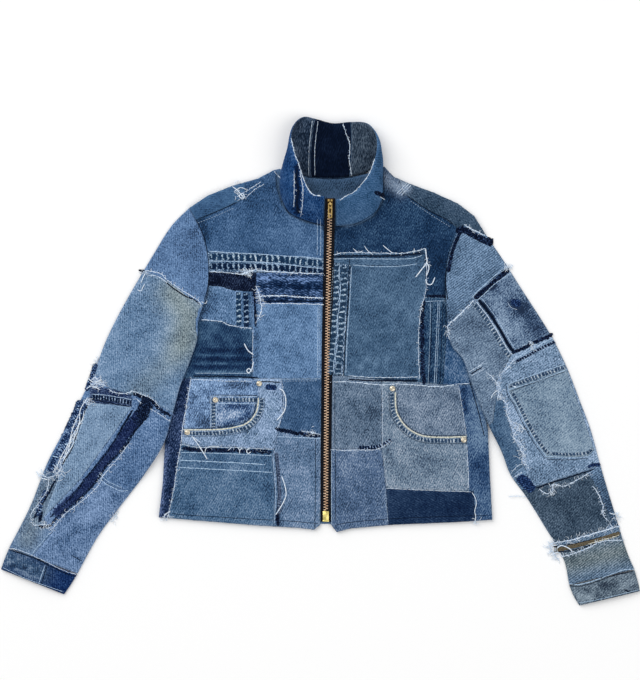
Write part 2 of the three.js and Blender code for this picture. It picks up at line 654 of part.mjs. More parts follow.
const RIGHT_SLEEVE_PATCHES = [
  ['sleeve_light_patch_right', 1, '#7a94b0', [
    [-310, 150], [-276, 143], [-248, 130], [-214, 105], [-170, 78], [-170, -84], [-235, -84],
    [-255, -73], [-270, -62], [-302, -54], [-337, -44], [-356, -24], [-390, -15]]],
  ['sleeve_waistband_right', 1, '#27395f', [
    [-368, -40], [-337, -44], [-302, -54], [-302, -73], [-371, -66]]],
  ['sleeve_long_patch_right', 1, '#8099b4', [
    [-371, -66], [-302, -73], [-330, -115], [-385, -190], [-443, -251], [-425, -205], [-397, -130]]],
  ['sleeve_inner_patch_right', 1, '#5578a6', [
    [-302, -73], [-302, -54], [-270, -62], [-255, -73], [-235, -84], [-200, -90], [-270, -205],
    [-308, -208], [-335, -200], [-354, -187], [-385, -190], [-330, -115]]],
  ['sleeve_lower_patch_right', 1, '#5c7fb2', [
    [-354, -187], [-335, -200], [-308, -208], [-270, -205], [-370, -350], [-460, -312],
    [-428, -274], [-443, -251], [-385, -190]]],
];
const LEFT_SLEEVE_PATCHES = [
  ['sleeve_jeans_patch_left', 1, '#76899c', [
    [241, 103], [304, 156], [340, 130], [385, 46], [340, 28], [305, 11], [275, 55], [244, 92]]],
  ['sleeve_grey_patch_left', 1, '#7c8b9c', [
    [185, 52], [236, 85], [244, 92], [275, 55], [305, 11], [290, -18], [280, -35], [281, -60],
    [275, -98], [255, -115], [185, 0]]],
  ['sleeve_inner_patch_left', 1, '#38557c', [
    [281, -60], [292, -62], [300, -95], [310, -125], [322, -150], [325, -165], [295, -192],
    [255, -115], [275, -98]]],
  ['sleeve_field_patch_left', 1, '#7390ad', [
    [305, 11], [340, 28], [385, 46], [460, -160], [427, -174], [338, -203], [325, -165],
    [322, -150], [310, -125], [300, -95], [292, -62], [281, -60], [280, -35], [290, -18]]],
  ['sleeve_pocket_left', 2, '#819ab4', [
    [299, -38], [391, -8], [438, -142], [426, -152], [361, -155], [324, -93], [303, -56]]],
  ['sleeve_dark_patch_left', 1, '#34465e', [
    [310, -210], [338, -203], [427, -178], [441, -200], [465, -256], [455, -268], [366, -294]]],
];

function makeSleeve(side, patches, colour, cuffColour) {
  const sleeve = SLEEVES[side];
  const plan = sleevePlan(sleeve);
  const floor = (x, y) => liftOver(sleeve.under, x, y);
  add(`sleeve_${side}`, flatTube(plan, floor, PLY), colour);
  for (const [name, layer, patchColour, outline] of patches) {
    add(name, sleevePatch(plan, floor, outline, layer), patchColour);
  }
  const cuff = sleeve.cuff.map(([a, b]) => Array.from({ length: SLEEVE_COLUMNS + 1 },
    (_, k) => new THREE.Vector2(...a).lerp(new THREE.Vector2(...b), k / SLEEVE_COLUMNS)));
  add(`cuff_${side}`, flatTube(cuff, floor, CUFF_PLY, 2 * (CUFF_PLY - PLY)), cuffColour);
}

makeBack();
makeFronts();
makeFrontPatches();
makeCollar();
makeZip();
makeRivets();
makeSleeve('right', RIGHT_SLEEVE_PATCHES, '#5f7fb0', '#33486c');
makeSleeve('left', LEFT_SLEEVE_PATCHES, '#6b8aad', '#6d8196');

export default group;
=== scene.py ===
import math
import zlib

import bmesh
import bpy
import numpy as np
from mathutils import Matrix, Vector
from mathutils.bvhtree import BVHTree
from mathutils.geometry import delaunay_2d_cdt


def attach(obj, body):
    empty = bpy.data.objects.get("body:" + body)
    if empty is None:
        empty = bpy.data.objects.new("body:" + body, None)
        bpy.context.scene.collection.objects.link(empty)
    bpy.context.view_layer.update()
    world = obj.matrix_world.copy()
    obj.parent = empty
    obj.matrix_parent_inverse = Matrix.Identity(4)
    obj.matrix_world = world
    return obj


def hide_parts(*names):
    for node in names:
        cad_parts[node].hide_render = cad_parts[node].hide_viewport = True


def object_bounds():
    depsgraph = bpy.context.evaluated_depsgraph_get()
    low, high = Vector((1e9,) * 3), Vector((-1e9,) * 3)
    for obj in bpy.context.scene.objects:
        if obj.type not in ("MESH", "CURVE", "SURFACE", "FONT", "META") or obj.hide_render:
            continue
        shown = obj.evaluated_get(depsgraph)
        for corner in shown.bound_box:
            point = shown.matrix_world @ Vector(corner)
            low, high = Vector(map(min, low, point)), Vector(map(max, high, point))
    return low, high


# A patched boro denim jacket, laid flat and face up, with its zip closed to the collar.
# Sizes and places in this script are millimetres until a mesh is made, which is in metres.

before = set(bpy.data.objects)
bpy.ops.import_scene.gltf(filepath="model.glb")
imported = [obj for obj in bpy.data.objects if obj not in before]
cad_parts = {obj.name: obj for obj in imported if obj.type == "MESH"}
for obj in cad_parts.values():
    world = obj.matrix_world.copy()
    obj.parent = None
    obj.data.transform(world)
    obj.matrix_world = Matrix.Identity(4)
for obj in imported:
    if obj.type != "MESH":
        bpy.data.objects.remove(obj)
cad_low, cad_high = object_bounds()

MM = 0.001
BACK_PLY = 1.5
PLY = 1.3
LAYER = 1.6              # from one layer of patches to the next
FRONT_BOTTOM = 1.8
SHOWN_PLY = 1.1          # thickness of the cloth that shows
SEAM_GAP = 0.3
CLOTH_STEP = 3.4         # distance between the points of a cloth mesh
ROUNDED_WITHIN = 2.2     # of its edge, a cut piece turns down
SLEEVE_RIM = 120         # a sleeve's width as its worn edges take it, fold to fold
COLLAR_RIM = 52          # a collar ply's height as its weave and worn edges take it
SLEEVE_EDGE = 3.2
SLEEVE_CROWN = 2.4
SLEEVE_LIFT = 8
LIFT_START = 4
LIFT_END = 45
CUFF_EXTRA = 1.4
ZIP_HALF = 8.5
ZIP_BOTTOM = -257
NECK_FRONT = 217
RIM_FRONT = 262

# Outlines that several pieces share
ARMHOLE_RIGHT = [
    (-210, 245), (-198, 224), (-187, 196), (-180, 166), (-179, 136), (-182, 106), (-191, 82)]
ARMHOLE_LEFT = [
    (264, 203), (229, 217), (212, 190), (203, 160), (200, 128), (202, 98), (209, 70)]
SIDE_RIGHT = [(-215, 62), (-232, 30), (-240, -30), (-249, -133), (-253, -200), (-259, -250)]
SIDE_LEFT = [(228, 48), (246, 10), (258, -40), (268, -110), (271, -183), (275, -254)]
SHOULDER_RIGHT = [(-74, 306), (-100, 292), (-142, 280), (-180, 265)]
SHOULDER_LEFT = [(102, 311), (117, 295), (142, 284), (180, 270), (220, 252), (246, 232)]
NECK_RIGHT = [(-24, 221.5), (-49, 232.5), (-62, 250), (-70.5, 280), (-71, 303)]
NECK_LEFT = [(45, 213.5), (64, 219.5), (86, 232), (99.5, 255), (100.5, 282), (99.5, 310)]
NECK_BACK = [(-66, 305), (-48, 301.5), (-20, 293), (15, 290.5), (50, 293), (74, 298), (90, 304)]
HEM_RIGHT = [(-200, -255), (-103, -263), (-36, -267), (-10, -270)]
HEM_LEFT = [(26, -274), (48, -268), (117, -262), (216, -258)]


# ------------------------------------------------------------------ lines and places

def chance(name):
    """A generator of its own for each piece, the same on every run."""
    return np.random.default_rng(zlib.crc32(name.encode()))


def paced(points, pace, closed=False):
    """The same corners, with points added so that none are further apart than the pace."""
    points = np.asarray(points, float)
    starts = points if closed else points[:-1]
    ends = np.roll(points, -1, axis=0) if closed else points[1:]
    line = []
    for a, b in zip(starts, ends):
        count = max(1, math.ceil(np.linalg.norm(b - a) / pace))
        line.extend(a + (b - a) * k / count for k in range(count))
    if not closed:
        line.append(points[-1])
    return np.array(line)


def flowing(points, pace):
    """A smooth line through the points."""
    points = np.asarray(points, float)
    if len(points) < 3:
        return paced(points, pace)
    rail = np.vstack([2 * points[0] - points[1], points, 2 * points[-1] - points[-2]])
    line = []
    for a, b, c, d in zip(rail, rail[1:], rail[2:], rail[3:]):
        count = max(1, math.ceil(np.linalg.norm(c - b) / pace))
        for k in range(count):
            t = k / count
            line.append(0.5 * (2 * b + (c - a) * t + (2 * a - 5 * b + 4 * c - d) * t * t
                               + (3 * b - a - 3 * c + d) * t ** 3))
    line.append(points[-1])
    return np.array(line)


def lengths_along(line):
    return np.concatenate([[0], np.cumsum(np.linalg.norm(np.diff(line, axis=0), axis=1))])


def at_share(line, share):
    """The point at a share of a line's length."""
    run = lengths_along(line)
    return np.array([np.interp(share * run[-1], run, line[:, k]) for k in range(line.shape[1])])


def near_line(xy, line, closed=False):
    """How far each point is from a line, and how far along it the nearest place is."""
    line = np.asarray(line, float)
    if len(line) == 1:
        return np.linalg.norm(xy - line[0], axis=1), np.zeros(len(xy))
    starts = line if closed else line[:-1]
    ends = np.roll(line, -1, axis=0) if closed else line[1:]
    best = np.full(len(xy), np.inf)
    along = np.zeros(len(xy))
    run = 0.0
    for a, b in zip(starts, ends):
        step = b - a
        length = max(np.linalg.norm(step), 1e-6)
        t = np.clip(((xy - a) @ step) / length ** 2, 0, 1)
        gap = np.linalg.norm(xy - a - t[:, None] * step, axis=1)
        closer = gap < best
        best[closer] = gap[closer]
        along[closer] = run + t[closer] * length
        run += length
    return best, along


def without_repeats(ring):
    """A closed outline without the points that follow too close on another."""
    apart = np.linalg.norm(ring - np.roll(ring, 1, axis=0), axis=1) > 0.4
    return ring[apart]


def is_inside(xy, ring):
    inside = np.zeros(len(xy), bool)
    for (ax, ay), (bx, by) in zip(ring, np.roll(ring, -1, axis=0)):
        if ay != by:
            crosses = (ay > xy[:, 1]) != (by > xy[:, 1])
            inside ^= crosses & (xy[:, 0] < (bx - ax) * (xy[:, 1] - ay) / (by - ay) + ax)
    return inside


def smooth_step(low, high, value):
    t = np.clip((value - low) / (high - low), 0, 1)
    return t * t * (3 - 2 * t)


def soft_marks(xy, marks):
    """The sum of soft marks: each is a line, its half width and its strength."""
    total = np.zeros(len(xy))
    for line, width, strength in marks:
        gap, _ = near_line(xy, line)
        total += strength * np.exp(-(gap / width) ** 2)
    return total


def inset(ring, distance):
    """A closed outline moved in, corner by corner."""
    ring = np.asarray(ring, float)
    after = np.roll(ring, -1, axis=0)
    area = np.sum(ring[:, 0] * after[:, 1] - after[:, 0] * ring[:, 1])
    if area < 0:
        ring = ring[::-1]
        after = np.roll(ring, -1, axis=0)
    ahead = after - ring
    ahead /= np.linalg.norm(ahead, axis=1)[:, None]
    behind = np.roll(ahead, 1, axis=0)
    side = np.stack([-ahead[:, 1] - behind[:, 1], ahead[:, 0] + behind[:, 0]], axis=1)
    reach = 2 * distance / np.maximum((side ** 2).sum(axis=1), 0.4)
    return ring + side * reach[:, None]


# ------------------------------------------------------------------ heights

def zip_x(y):
    """The zip leans a little to the wearer's left on its way up."""
    climb = np.maximum((np.asarray(y, float) - ZIP_BOTTOM) / (RIM_FRONT - ZIP_BOTTOM), 0)
    return 8.5 + 7 * climb ** 1.8


def centre_edge(side):
    return [(float(zip_x(y)) + side * ZIP_HALF, y)
            for y in (NECK_FRONT - 1, 130, 40, -60, -160, -262)]


FRONT_RIGHT = [
    *NECK_RIGHT, *SHOULDER_RIGHT, *ARMHOLE_RIGHT, *SIDE_RIGHT, *HEM_RIGHT,
    *reversed(centre_edge(-1))]
FRONT_LEFT = [
    *centre_edge(1), *HEM_LEFT, *reversed(SIDE_LEFT), *reversed(ARMHOLE_LEFT),
    *reversed(SHOULDER_LEFT), *reversed(NECK_LEFT)]
BACK = [
    *[(x, y + 2.6) for x, y in NECK_BACK], *SHOULDER_LEFT, *ARMHOLE_LEFT, *SIDE_LEFT,
    (117, -260), (-103, -261), *reversed(SIDE_RIGHT), *reversed(ARMHOLE_RIGHT),
    *reversed(SHOULDER_RIGHT)]

# Soft folds of the fronts: line, half width, height
BODY_FOLDS = [
    ([(-150, 235), (-120, 205), (-60, 190)], 14, 0.9),
    ([(-95, 280), (-110, 240), (-100, 215)], 10, -0.7),
    ([(-170, 215), (-176, 190), (-172, 165)], 7, -0.8),
    ([(-30, 205), (-14, 170), (-10, 120)], 9, 0.7),
    ([(-175, 12), (-145, 9), (-115, 11)], 3.2, -0.6),
    ([(-185, -2), (-150, -5), (-116, -3)], 3.0, -0.6),
    ([(-190, -12), (-150, -15), (-112, -13)], 3.0, 0.6),
    ([(-90, 60), (-40, 52), (-8, 58)], 16, 0.6),
    ([(-95, 10), (-50, -4), (-10, 4)], 14, -0.5),
    ([(-60, -45), (-62, -80), (-70, -120)], 8, 0.7),
    ([(-200, -60), (-190, -95), (-205, -120)], 9, 0.6),
    ([(-210, -200), (-150, -215), (-90, -205)], 16, 0.5),
    ([(-60, -190), (-50, -225), (-58, -255)], 9, 0.7),
    ([(60, 205), (110, 190), (170, 200)], 14, 0.9),
    ([(125, 240), (150, 205), (185, 175)], 10, -0.8),
    ([(185, 150), (188, 120), (186, 95)], 8, -0.7),
    ([(70, 130), (110, 90), (150, 60)], 18, 0.6),
    ([(60, 40), (100, 20), (150, 25)], 14, -0.5),
    ([(60, -5), (90, -14), (140, -10)], 6, 0.5),
    ([(30, -60), (60, -90), (90, -120)], 14, 0.5),
    ([(110, -150), (150, -165), (220, -160)], 12, 0.6),
    ([(240, -60), (250, -110), (255, -150)], 8, 0.8),
    ([(30, -170), (70, -200), (100, -230)], 14, -0.5),
    ([(130, -225), (180, -235), (235, -225)], 10, 0.5),
]
# Soft folds of the sleeves
SLEEVE_FOLDS = [
    ([(-232, 195), (-236, 160), (-226, 120)], 10, 0.9),
    ([(-200, 130), (-214, 95), (-206, 60)], 9, -0.9),
    ([(-262, 120), (-285, 80), (-300, 30)], 12, 0.8),
    ([(-205, 35), (-235, 20), (-262, 26)], 8, -1.0),
    ([(-222, -20), (-250, -28), (-275, -15)], 8, -0.8),
    ([(-300, 0), (-320, -20), (-345, -20)], 9, 0.7),
    ([(-262, -115), (-290, -120), (-315, -100)], 8, 0.9),
    ([(-285, -160), (-310, -160), (-330, -140)], 8, -0.8),
    ([(-330, -225), (-350, -220), (-380, -240)], 9, 0.9),
    ([(-345, -262), (-370, -262), (-400, -285)], 8, -0.9),
    ([(-378, -310), (-400, -300), (-430, -305)], 7, 0.8),
    ([(-400, -120), (-412, -150), (-425, -170)], 7, 0.6),
    ([(270, 170), (262, 135), (236, 110)], 10, 0.9),
    ([(300, 120), (320, 90), (345, 60)], 10, 0.7),
    ([(222, 60), (245, 40), (262, 48)], 8, -0.9),
    ([(245, 0), (262, 10), (280, 5)], 7, 0.7),
    ([(262, -70), (272, -95), (290, -120)], 7, 0.8),
    ([(330, 0), (345, -40), (350, -80)], 12, 0.6),
    ([(300, -165), (330, -170), (360, -172)], 7, -0.9),
    ([(345, -225), (385, -225), (420, -215)], 9, 0.9),
    ([(362, -262), (400, -255), (440, -245)], 8, -0.8),
    ([(395, -320), (430, -315), (470, -305)], 7, 0.8),
]


def drape(xy):
    """How far the fronts stand off the back."""
    x, y = xy[:, 0], xy[:, 1]
    return 1.1 + 0.55 * np.sin(x / 47 + 0.6) * np.cos(y / 61) + 0.4 * np.sin(x / 83 - y / 72)


def front_top(layer):
    """Height of the upper face of the fronts' ply number layer."""
    def height(xy):
        return FRONT_BOTTOM + layer * LAYER + PLY + drape(xy) + soft_marks(xy, BODY_FOLDS)
    return height


class Sleeve:
    """A flattened sleeve: its plan from armhole to wrist, its thickness and its lift."""

    def __init__(self, armhole, under, outer, inner, extra=0.0):
        self.first = None if armhole is None else flowing(armhole, 3)
        self.under = None if under is None else np.array(under, float)
        self.outer = flowing(outer, 4)
        self.inner = flowing(inner, 4)
        self.extra = extra
        outline = [self.outer, self.inner[::-1]]
        if armhole is not None:
            outline.append(self.first[::-1])
        self.outline = without_repeats(np.vstack(outline))

    def across(self, xy):
        """Share of the way from the outer fold to the inner one."""
        out, _ = near_line(xy, self.outer)
        into, _ = near_line(xy, self.inner)
        return out / np.maximum(out + into, 1e-6)

    def floor(self, xy):
        if self.under is None:
            return np.zeros(len(xy))
        away, _ = near_line(xy, self.under, closed=True)
        away[is_inside(xy, self.under)] = 0
        return SLEEVE_LIFT * (1 - smooth_step(LIFT_START, LIFT_END, away))

    def thick(self, across):
        crown = np.sin(np.pi * np.clip(across, 0, 1)) ** 0.7
        return SLEEVE_EDGE + self.extra + SLEEVE_CROWN * crown

    def roundness(self, across):
        """1 over the flat of the sleeve, falling to 0 at its two folds."""
        return np.sqrt(np.maximum(1 - np.abs(2 * across - 1) ** 16, 0))

    def top(self, layer):
        """Height of the upper face of a patch on the sleeve; layer 0 is the sleeve itself."""
        def height(xy):
            across = self.across(xy)
            half = self.thick(across) / 2
            full = self.roundness(across)
            rise = half * full + soft_marks(xy, SLEEVE_FOLDS) * full
            return self.floor(xy) + half + rise + layer * LAYER * (0.3 + 0.7 * full)
        return height

    def plan(self, along, across):
        """A plan point at shares along and across the sleeve."""
        a, b = at_share(self.outer, along), at_share(self.inner, along)
        point = a + (b - a) * across
        if self.first is not None:
            start = self.outer[0] + (self.inner[0] - self.outer[0]) * across
            fade = 1 - smooth_step(0, 0.14, along)
            point = point + (at_share(self.first, across) - start) * fade
        return point


UNDER_RIGHT = [ARMHOLE_RIGHT[5], (-150, 106), (-150, -255), *reversed(SIDE_RIGHT)]
UNDER_LEFT = [ARMHOLE_LEFT[5], (150, 98), (150, -255), *reversed(SIDE_LEFT)]
RIGHT_SLEEVE = Sleeve(
    ARMHOLE_RIGHT, UNDER_RIGHT,
    [(-210, 245), (-239, 215), (-268, 169), (-312, 94), (-342, 35), (-365, -24), (-397, -88),
     (-436, -161), (-464, -232), (-498, -299)],
    [(-191, 82), (-196, 60), (-197, 34), (-209, -2), (-224, -40), (-236, -84), (-251, -133),
     (-282, -182), (-324, -237), (-357, -282), (-389, -340)])
LEFT_SLEEVE = Sleeve(
    ARMHOLE_LEFT, UNDER_LEFT,
    [(264, 203), (295, 157), (321, 116), (365, 47), (393, -8), (416, -67), (432, -110),
     (446, -161), (461, -212), (488, -299), (502, -333)],
    [(209, 70), (204, 50), (210, 24), (228, 2), (240, -32), (267, -99), (289, -144),
     (304, -182), (329, -217), (357, -262), (388, -315), (398, -358)])
RIGHT_CUFF = Sleeve(None, None, [(-498.4, -300), (-505, -316), (-511, -333)],
                    [(-389.4, -341), (-399, -357), (-410, -373)], CUFF_EXTRA)
LEFT_CUFF = Sleeve(None, None, [(502.2, -334.5), (507, -351), (511, -368)],
                   [(398.2, -359.5), (405, -376), (414, -391)], CUFF_EXTRA)

# ------------------------------------------------------------------ materials

TRIANGLE_PERIOD = 0.314  # a wave texture of scale 1 repeats at this distance, in metres


def linear(colour):
    """An sRGB hex colour as linear red, green, blue and alpha."""
    values = [int(colour[k:k + 2], 16) / 255 for k in (1, 3, 5)]
    return [*(v / 12.92 if v <= 0.04045 else ((v + 0.055) / 1.055) ** 2.4 for v in values), 1]


def node(tree, kind, values=(), links=(), **settings):
    """Adds a node with its settings, the values of its inputs and what they are linked to."""
    made = tree.nodes.new(kind)
    for key, value in settings.items():
        setattr(made, key, value)
    for key, value in dict(values).items():
        made.inputs[key].default_value = value
    for key, source in dict(links).items():
        tree.links.new(source, made.inputs[key])
    return made


def new_material(name):
    material = bpy.data.materials.new(name)
    material.use_nodes = True
    material.node_tree.nodes.clear()
    return material, material.node_tree


def weighed_sum(tree, start, parts):
    """start + the sum of weight * (value - 0.5)."""
    total = start
    for value, weight in parts:
        less = node(tree, "ShaderNodeMath", {1: 0.5}, {0: value}, operation="SUBTRACT")
        total = node(tree, "ShaderNodeMath", {1: weight}, {0: less.outputs[0], 2: total},
                     operation="MULTIPLY_ADD").outputs[0]
    return total


def ramp_of(tree, value, stops):
    ramp = node(tree, "ShaderNodeValToRGB", links={0: value})
    ramp.color_ramp.elements.remove(ramp.color_ramp.elements[0])
    for k, (place, colour) in enumerate(stops):
        stop = ramp.color_ramp.elements[0] if k == 0 else ramp.color_ramp.elements.new(place)
        stop.position = place
        stop.color = linear(colour)
    return ramp.outputs[0]


def finish_cloth(tree, colour, height, roughness, depth, strength=0.5, sheen=0.02):
    bump = node(tree, "ShaderNodeBump", {"Strength": strength, "Distance": depth * MM},
                {"Height": height})
    shader = node(tree, "ShaderNodeBsdfPrincipled",
                  {"Roughness": roughness, "Sheen Weight": sheen, "Specular IOR Level": 0.03},
                  {"Base Color": colour, "Normal": bump.outputs[0]})
    node(tree, "ShaderNodeOutputMaterial", links={"Surface": shader.outputs[0]})


def mixed(dark, light, share):
    """A hex colour part of the way from one to another, or past it."""
    pair = [[int(c[k:k + 2], 16) for k in (1, 3, 5)] for c in (dark, light)]
    values = [min(max(round(a + (b - a) * share), 0), 255) for a, b in zip(*pair)]
    return "#" + "".join(f"{v:02x}" for v in values)


def denim(name, dark, mid, light, speckle=1.5, cloud=0.6, fade=0.6, twill=0.22, lean=38,
          wear=0.3, streak=0.0, wash=None):
    """Worn ring-spun denim: indigo warp over white weft, washed until it is mottled.

    Its diagonal twill is about 0.7 mm apart, and is drawn at 3 mm so that it shows. wash is
    a second colour, for where the piece's own "washed" attribute says."""
    material, tree = new_material(name)
    weave = node(tree, "ShaderNodeUVMap", uv_map="weave").outputs[0]
    turned = node(tree, "ShaderNodeMapping", {"Rotation": (0, 0, math.radians(lean)),
                                              "Scale": (1, 0.7, 1)}, {"Vector": weave})
    stretched = node(tree, "ShaderNodeMapping", {"Scale": (1, 0.3, 1)}, {"Vector": weave})
    fine = node(tree, "ShaderNodeTexNoise", {"Scale": 1000 / 2.1, "Detail": 1, "Roughness": 0.6},
                {"Vector": turned.outputs[0]}, noise_dimensions="2D")
    slub = node(tree, "ShaderNodeTexNoise", {"Scale": 1000 / 2.6, "Detail": 2, "Roughness": 0.6},
                {"Vector": stretched.outputs[0]}, noise_dimensions="2D")
    patchy = node(tree, "ShaderNodeTexNoise", {"Scale": 1000 / 15, "Detail": 3, "Roughness": 0.6},
                  {"Vector": weave}, noise_dimensions="2D")
    washed = node(tree, "ShaderNodeTexNoise", {"Scale": 1000 / 62, "Detail": 2, "Roughness": 0.5},
                  {"Vector": weave}, noise_dimensions="2D")
    lines = node(tree, "ShaderNodeTexWave",
                 {"Scale": 1000 * TRIANGLE_PERIOD / 3.0, "Distortion": 2.2, "Detail": 2,
                  "Detail Scale": 1.5, "Detail Roughness": 0.6},
                 {"Vector": turned.outputs[0]}, wave_type="BANDS", bands_direction="X")
    tone = node(tree, "ShaderNodeAttribute", attribute_name="tone").outputs["Fac"]
    rim = node(tree, "ShaderNodeAttribute", attribute_name="rim").outputs["Fac"]
    edge = node(tree, "ShaderNodeMapRange", {"From Min": 0.6, "From Max": 4.5, "To Min": 1,
                                             "To Max": 0.5}, {"Value": rim})
    start = node(tree, "ShaderNodeMath", {1: 0.47}, {0: tone}, operation="ADD").outputs[0]
    total = weighed_sum(tree, start, [
        (fine.outputs["Fac"], speckle), (slub.outputs["Fac"], 0.25 * speckle + streak),
        (patchy.outputs["Fac"], cloud), (washed.outputs["Fac"], fade),
        (lines.outputs["Fac"], twill), (edge.outputs[0], wear)])
    colour = ramp_of(tree, total, [
        (0.0, mixed(dark, "#050a18", 0.45)), (0.22, dark), (0.5, mid), (0.78, light),
        (1.0, mixed(mid, light, 1.9))])
    if wash:
        share = node(tree, "ShaderNodeAttribute", attribute_name="washed").outputs["Fac"]
        other = ramp_of(tree, total, [(0.0, mixed(wash, "#050a18", 0.5)), (0.5, wash),
                                      (1.0, mixed(wash, "#f0f4f8", 0.4))])
        both = node(tree, "ShaderNodeMix", links={0: share, 6: colour, 7: other},
                    data_type="RGBA")
        colour = both.outputs[2]
    finish_cloth(tree, colour, total, 0.92, 0.5)
    return material


def raw_cotton(name, dark, light, size=3.0):
    """Frayed weft yarn: undyed cotton with indigo rubbed into it, matt and uneven."""
    material, tree = new_material(name)
    weave = node(tree, "ShaderNodeUVMap", uv_map="weave").outputs[0]
    fibres = node(tree, "ShaderNodeTexNoise", {"Scale": 1000 / size, "Detail": 3},
                  {"Vector": weave}, noise_dimensions="2D")
    tone = node(tree, "ShaderNodeAttribute", attribute_name="tone").outputs["Fac"]
    start = node(tree, "ShaderNodeMath", {1: 0.5}, {0: tone}, operation="ADD").outputs[0]
    total = weighed_sum(tree, start, [(fibres.outputs["Fac"], 1.8)])
    colour = ramp_of(tree, total, [(0.1, dark), (0.6, light)])
    finish_cloth(tree, colour, total, 0.95, 0.2, 0.3)
    return material


def roped_seam(name, dark, mid, light, pitch=9.0, skew=0.16, edge=0.4):
    """A felled seam after many washes: it ropes, so worn ridges cross it at every pitch."""
    material, tree = new_material(name)
    weave = node(tree, "ShaderNodeUVMap", uv_map="weave").outputs[0]
    parts = node(tree, "ShaderNodeSeparateXYZ", links={0: weave})
    wobble = node(tree, "ShaderNodeTexNoise", {"Scale": 1000 / 14, "Detail": 2},
                  {"Vector": weave}, noise_dimensions="2D")
    fine = node(tree, "ShaderNodeTexNoise", {"Scale": 1000 / 2.6, "Detail": 2, "Roughness": 0.65},
                {"Vector": weave}, noise_dimensions="2D")
    across = node(tree, "ShaderNodeAttribute", attribute_name="across").outputs["Fac"]
    turns = node(tree, "ShaderNodeMath", {1: 1000 / pitch}, {0: parts.outputs[0]},
                 operation="MULTIPLY").outputs[0]
    shifted = weighed_sum(tree, turns, [(wobble.outputs["Fac"], 0.9), (across, skew)])
    angle = node(tree, "ShaderNodeMath", {1: 2 * math.pi}, {0: shifted},
                 operation="MULTIPLY").outputs[0]
    wave = node(tree, "ShaderNodeMath", links={0: angle}, operation="SINE").outputs[0]
    ragged = weighed_sum(tree, wave, [(fine.outputs["Fac"], 1.2), (wobble.outputs["Fac"], 1.0)])
    ridge = node(tree, "ShaderNodeMapRange", {"From Min": 0.2, "From Max": 0.95},
                 {"Value": ragged}, interpolation_type="SMOOTHSTEP").outputs[0]
    away = node(tree, "ShaderNodeMath", {1: 0.5}, {0: across}, operation="SUBTRACT").outputs[0]
    off = node(tree, "ShaderNodeMath", links={0: away}, operation="ABSOLUTE").outputs[0]
    lip = node(tree, "ShaderNodeMapRange", {"From Min": 0.34, "From Max": 0.44}, {"Value": off},
               interpolation_type="SMOOTHSTEP").outputs[0]
    worn = node(tree, "ShaderNodeMath", {1: edge}, {0: lip, 2: ridge},
                operation="MULTIPLY_ADD").outputs[0]
    tone = node(tree, "ShaderNodeAttribute", attribute_name="tone").outputs["Fac"]
    start = node(tree, "ShaderNodeMath", {1: 0.42}, {0: tone}, operation="ADD").outputs[0]
    total = weighed_sum(tree, start, [(worn, 0.62), (fine.outputs["Fac"], 1.5),
                                      (wobble.outputs["Fac"], 0.7)])
    colour = ramp_of(tree, total, [(0.08, mixed(dark, "#050a18", 0.3)), (0.25, dark), (0.55, mid),
                                   (0.85, light), (1.0, mixed(light, "#f0f4f8", 0.5))])
    finish_cloth(tree, colour, total, 0.92, 0.8)
    return material


def metal(name, dark, light, roughness, grain=1.2):
    """Stamped brass or plated zinc, mottled by noise between a dark and a light colour."""
    material, tree = new_material(name)
    place = node(tree, "ShaderNodeTexCoord").outputs["Object"]
    spots = node(tree, "ShaderNodeTexNoise", {"Scale": 1000 / grain, "Detail": 3},
                 {"Vector": place})
    colour = ramp_of(tree, spots.outputs["Fac"], [(0.35, dark), (0.62, light)])
    bump = node(tree, "ShaderNodeBump", {"Strength": 0.2, "Distance": 0.1 * MM},
                {"Height": spots.outputs["Fac"]})
    shader = node(tree, "ShaderNodeBsdfPrincipled", {"Metallic": 0.85, "Roughness": roughness},
                  {"Base Color": colour, "Normal": bump.outputs[0]})
    node(tree, "ShaderNodeOutputMaterial", links={"Surface": shader.outputs[0]})
    return material


# ------------------------------------------------------------------ meshes

SHOWN = []               # every finished cloth piece, for what is laid on it


def make_object(name, points, faces, uvs=None, attributes=None, smooth=True):
    """A mesh object from points in millimetres. UVs are one per point, in millimetres."""
    mesh = bpy.data.meshes.new(name)
    mesh.from_pydata((np.asarray(points) * MM).tolist(), [], [list(map(int, f)) for f in faces])
    corner = np.empty(len(mesh.loops), np.int32)
    mesh.loops.foreach_get("vertex_index", corner)
    if uvs is not None:
        layer = mesh.uv_layers.new(name="weave")
        layer.data.foreach_set("uv", (np.asarray(uvs)[corner] * MM).astype(np.float32).ravel())
    for key, values in (attributes or {}).items():
        made = mesh.attributes.new(key, "FLOAT", "POINT")
        made.data.foreach_set("value", np.asarray(values, np.float32))
    if smooth:
        mesh.polygons.foreach_set("use_smooth", np.ones(len(mesh.polygons), bool))
    mesh.update()
    piece = bpy.data.objects.new(name, mesh)
    bpy.context.scene.collection.objects.link(piece)
    return piece


def dress(piece, material, nodes=(), body="jacket"):
    if not piece.data.materials:
        piece.data.materials.append(material)
    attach(piece, body)
    if nodes:
        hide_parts(*nodes)
    return piece


def cut_size(xy):
    """The smallest rectangle round a cut, as width and length in metres."""
    best = None
    for degrees in range(0, 90, 3):
        turned = turned_uv(xy, degrees)
        size = turned.max(axis=0) - turned.min(axis=0)
        if best is None or size[0] * size[1] < best[0] * best[1]:
            best = size
    return sorted(float(v) * MM for v in best)


def turned_uv(xy, degrees):
    a = math.radians(degrees)
    return xy @ np.array([[math.cos(a), -math.sin(a)], [math.sin(a), math.cos(a)]])


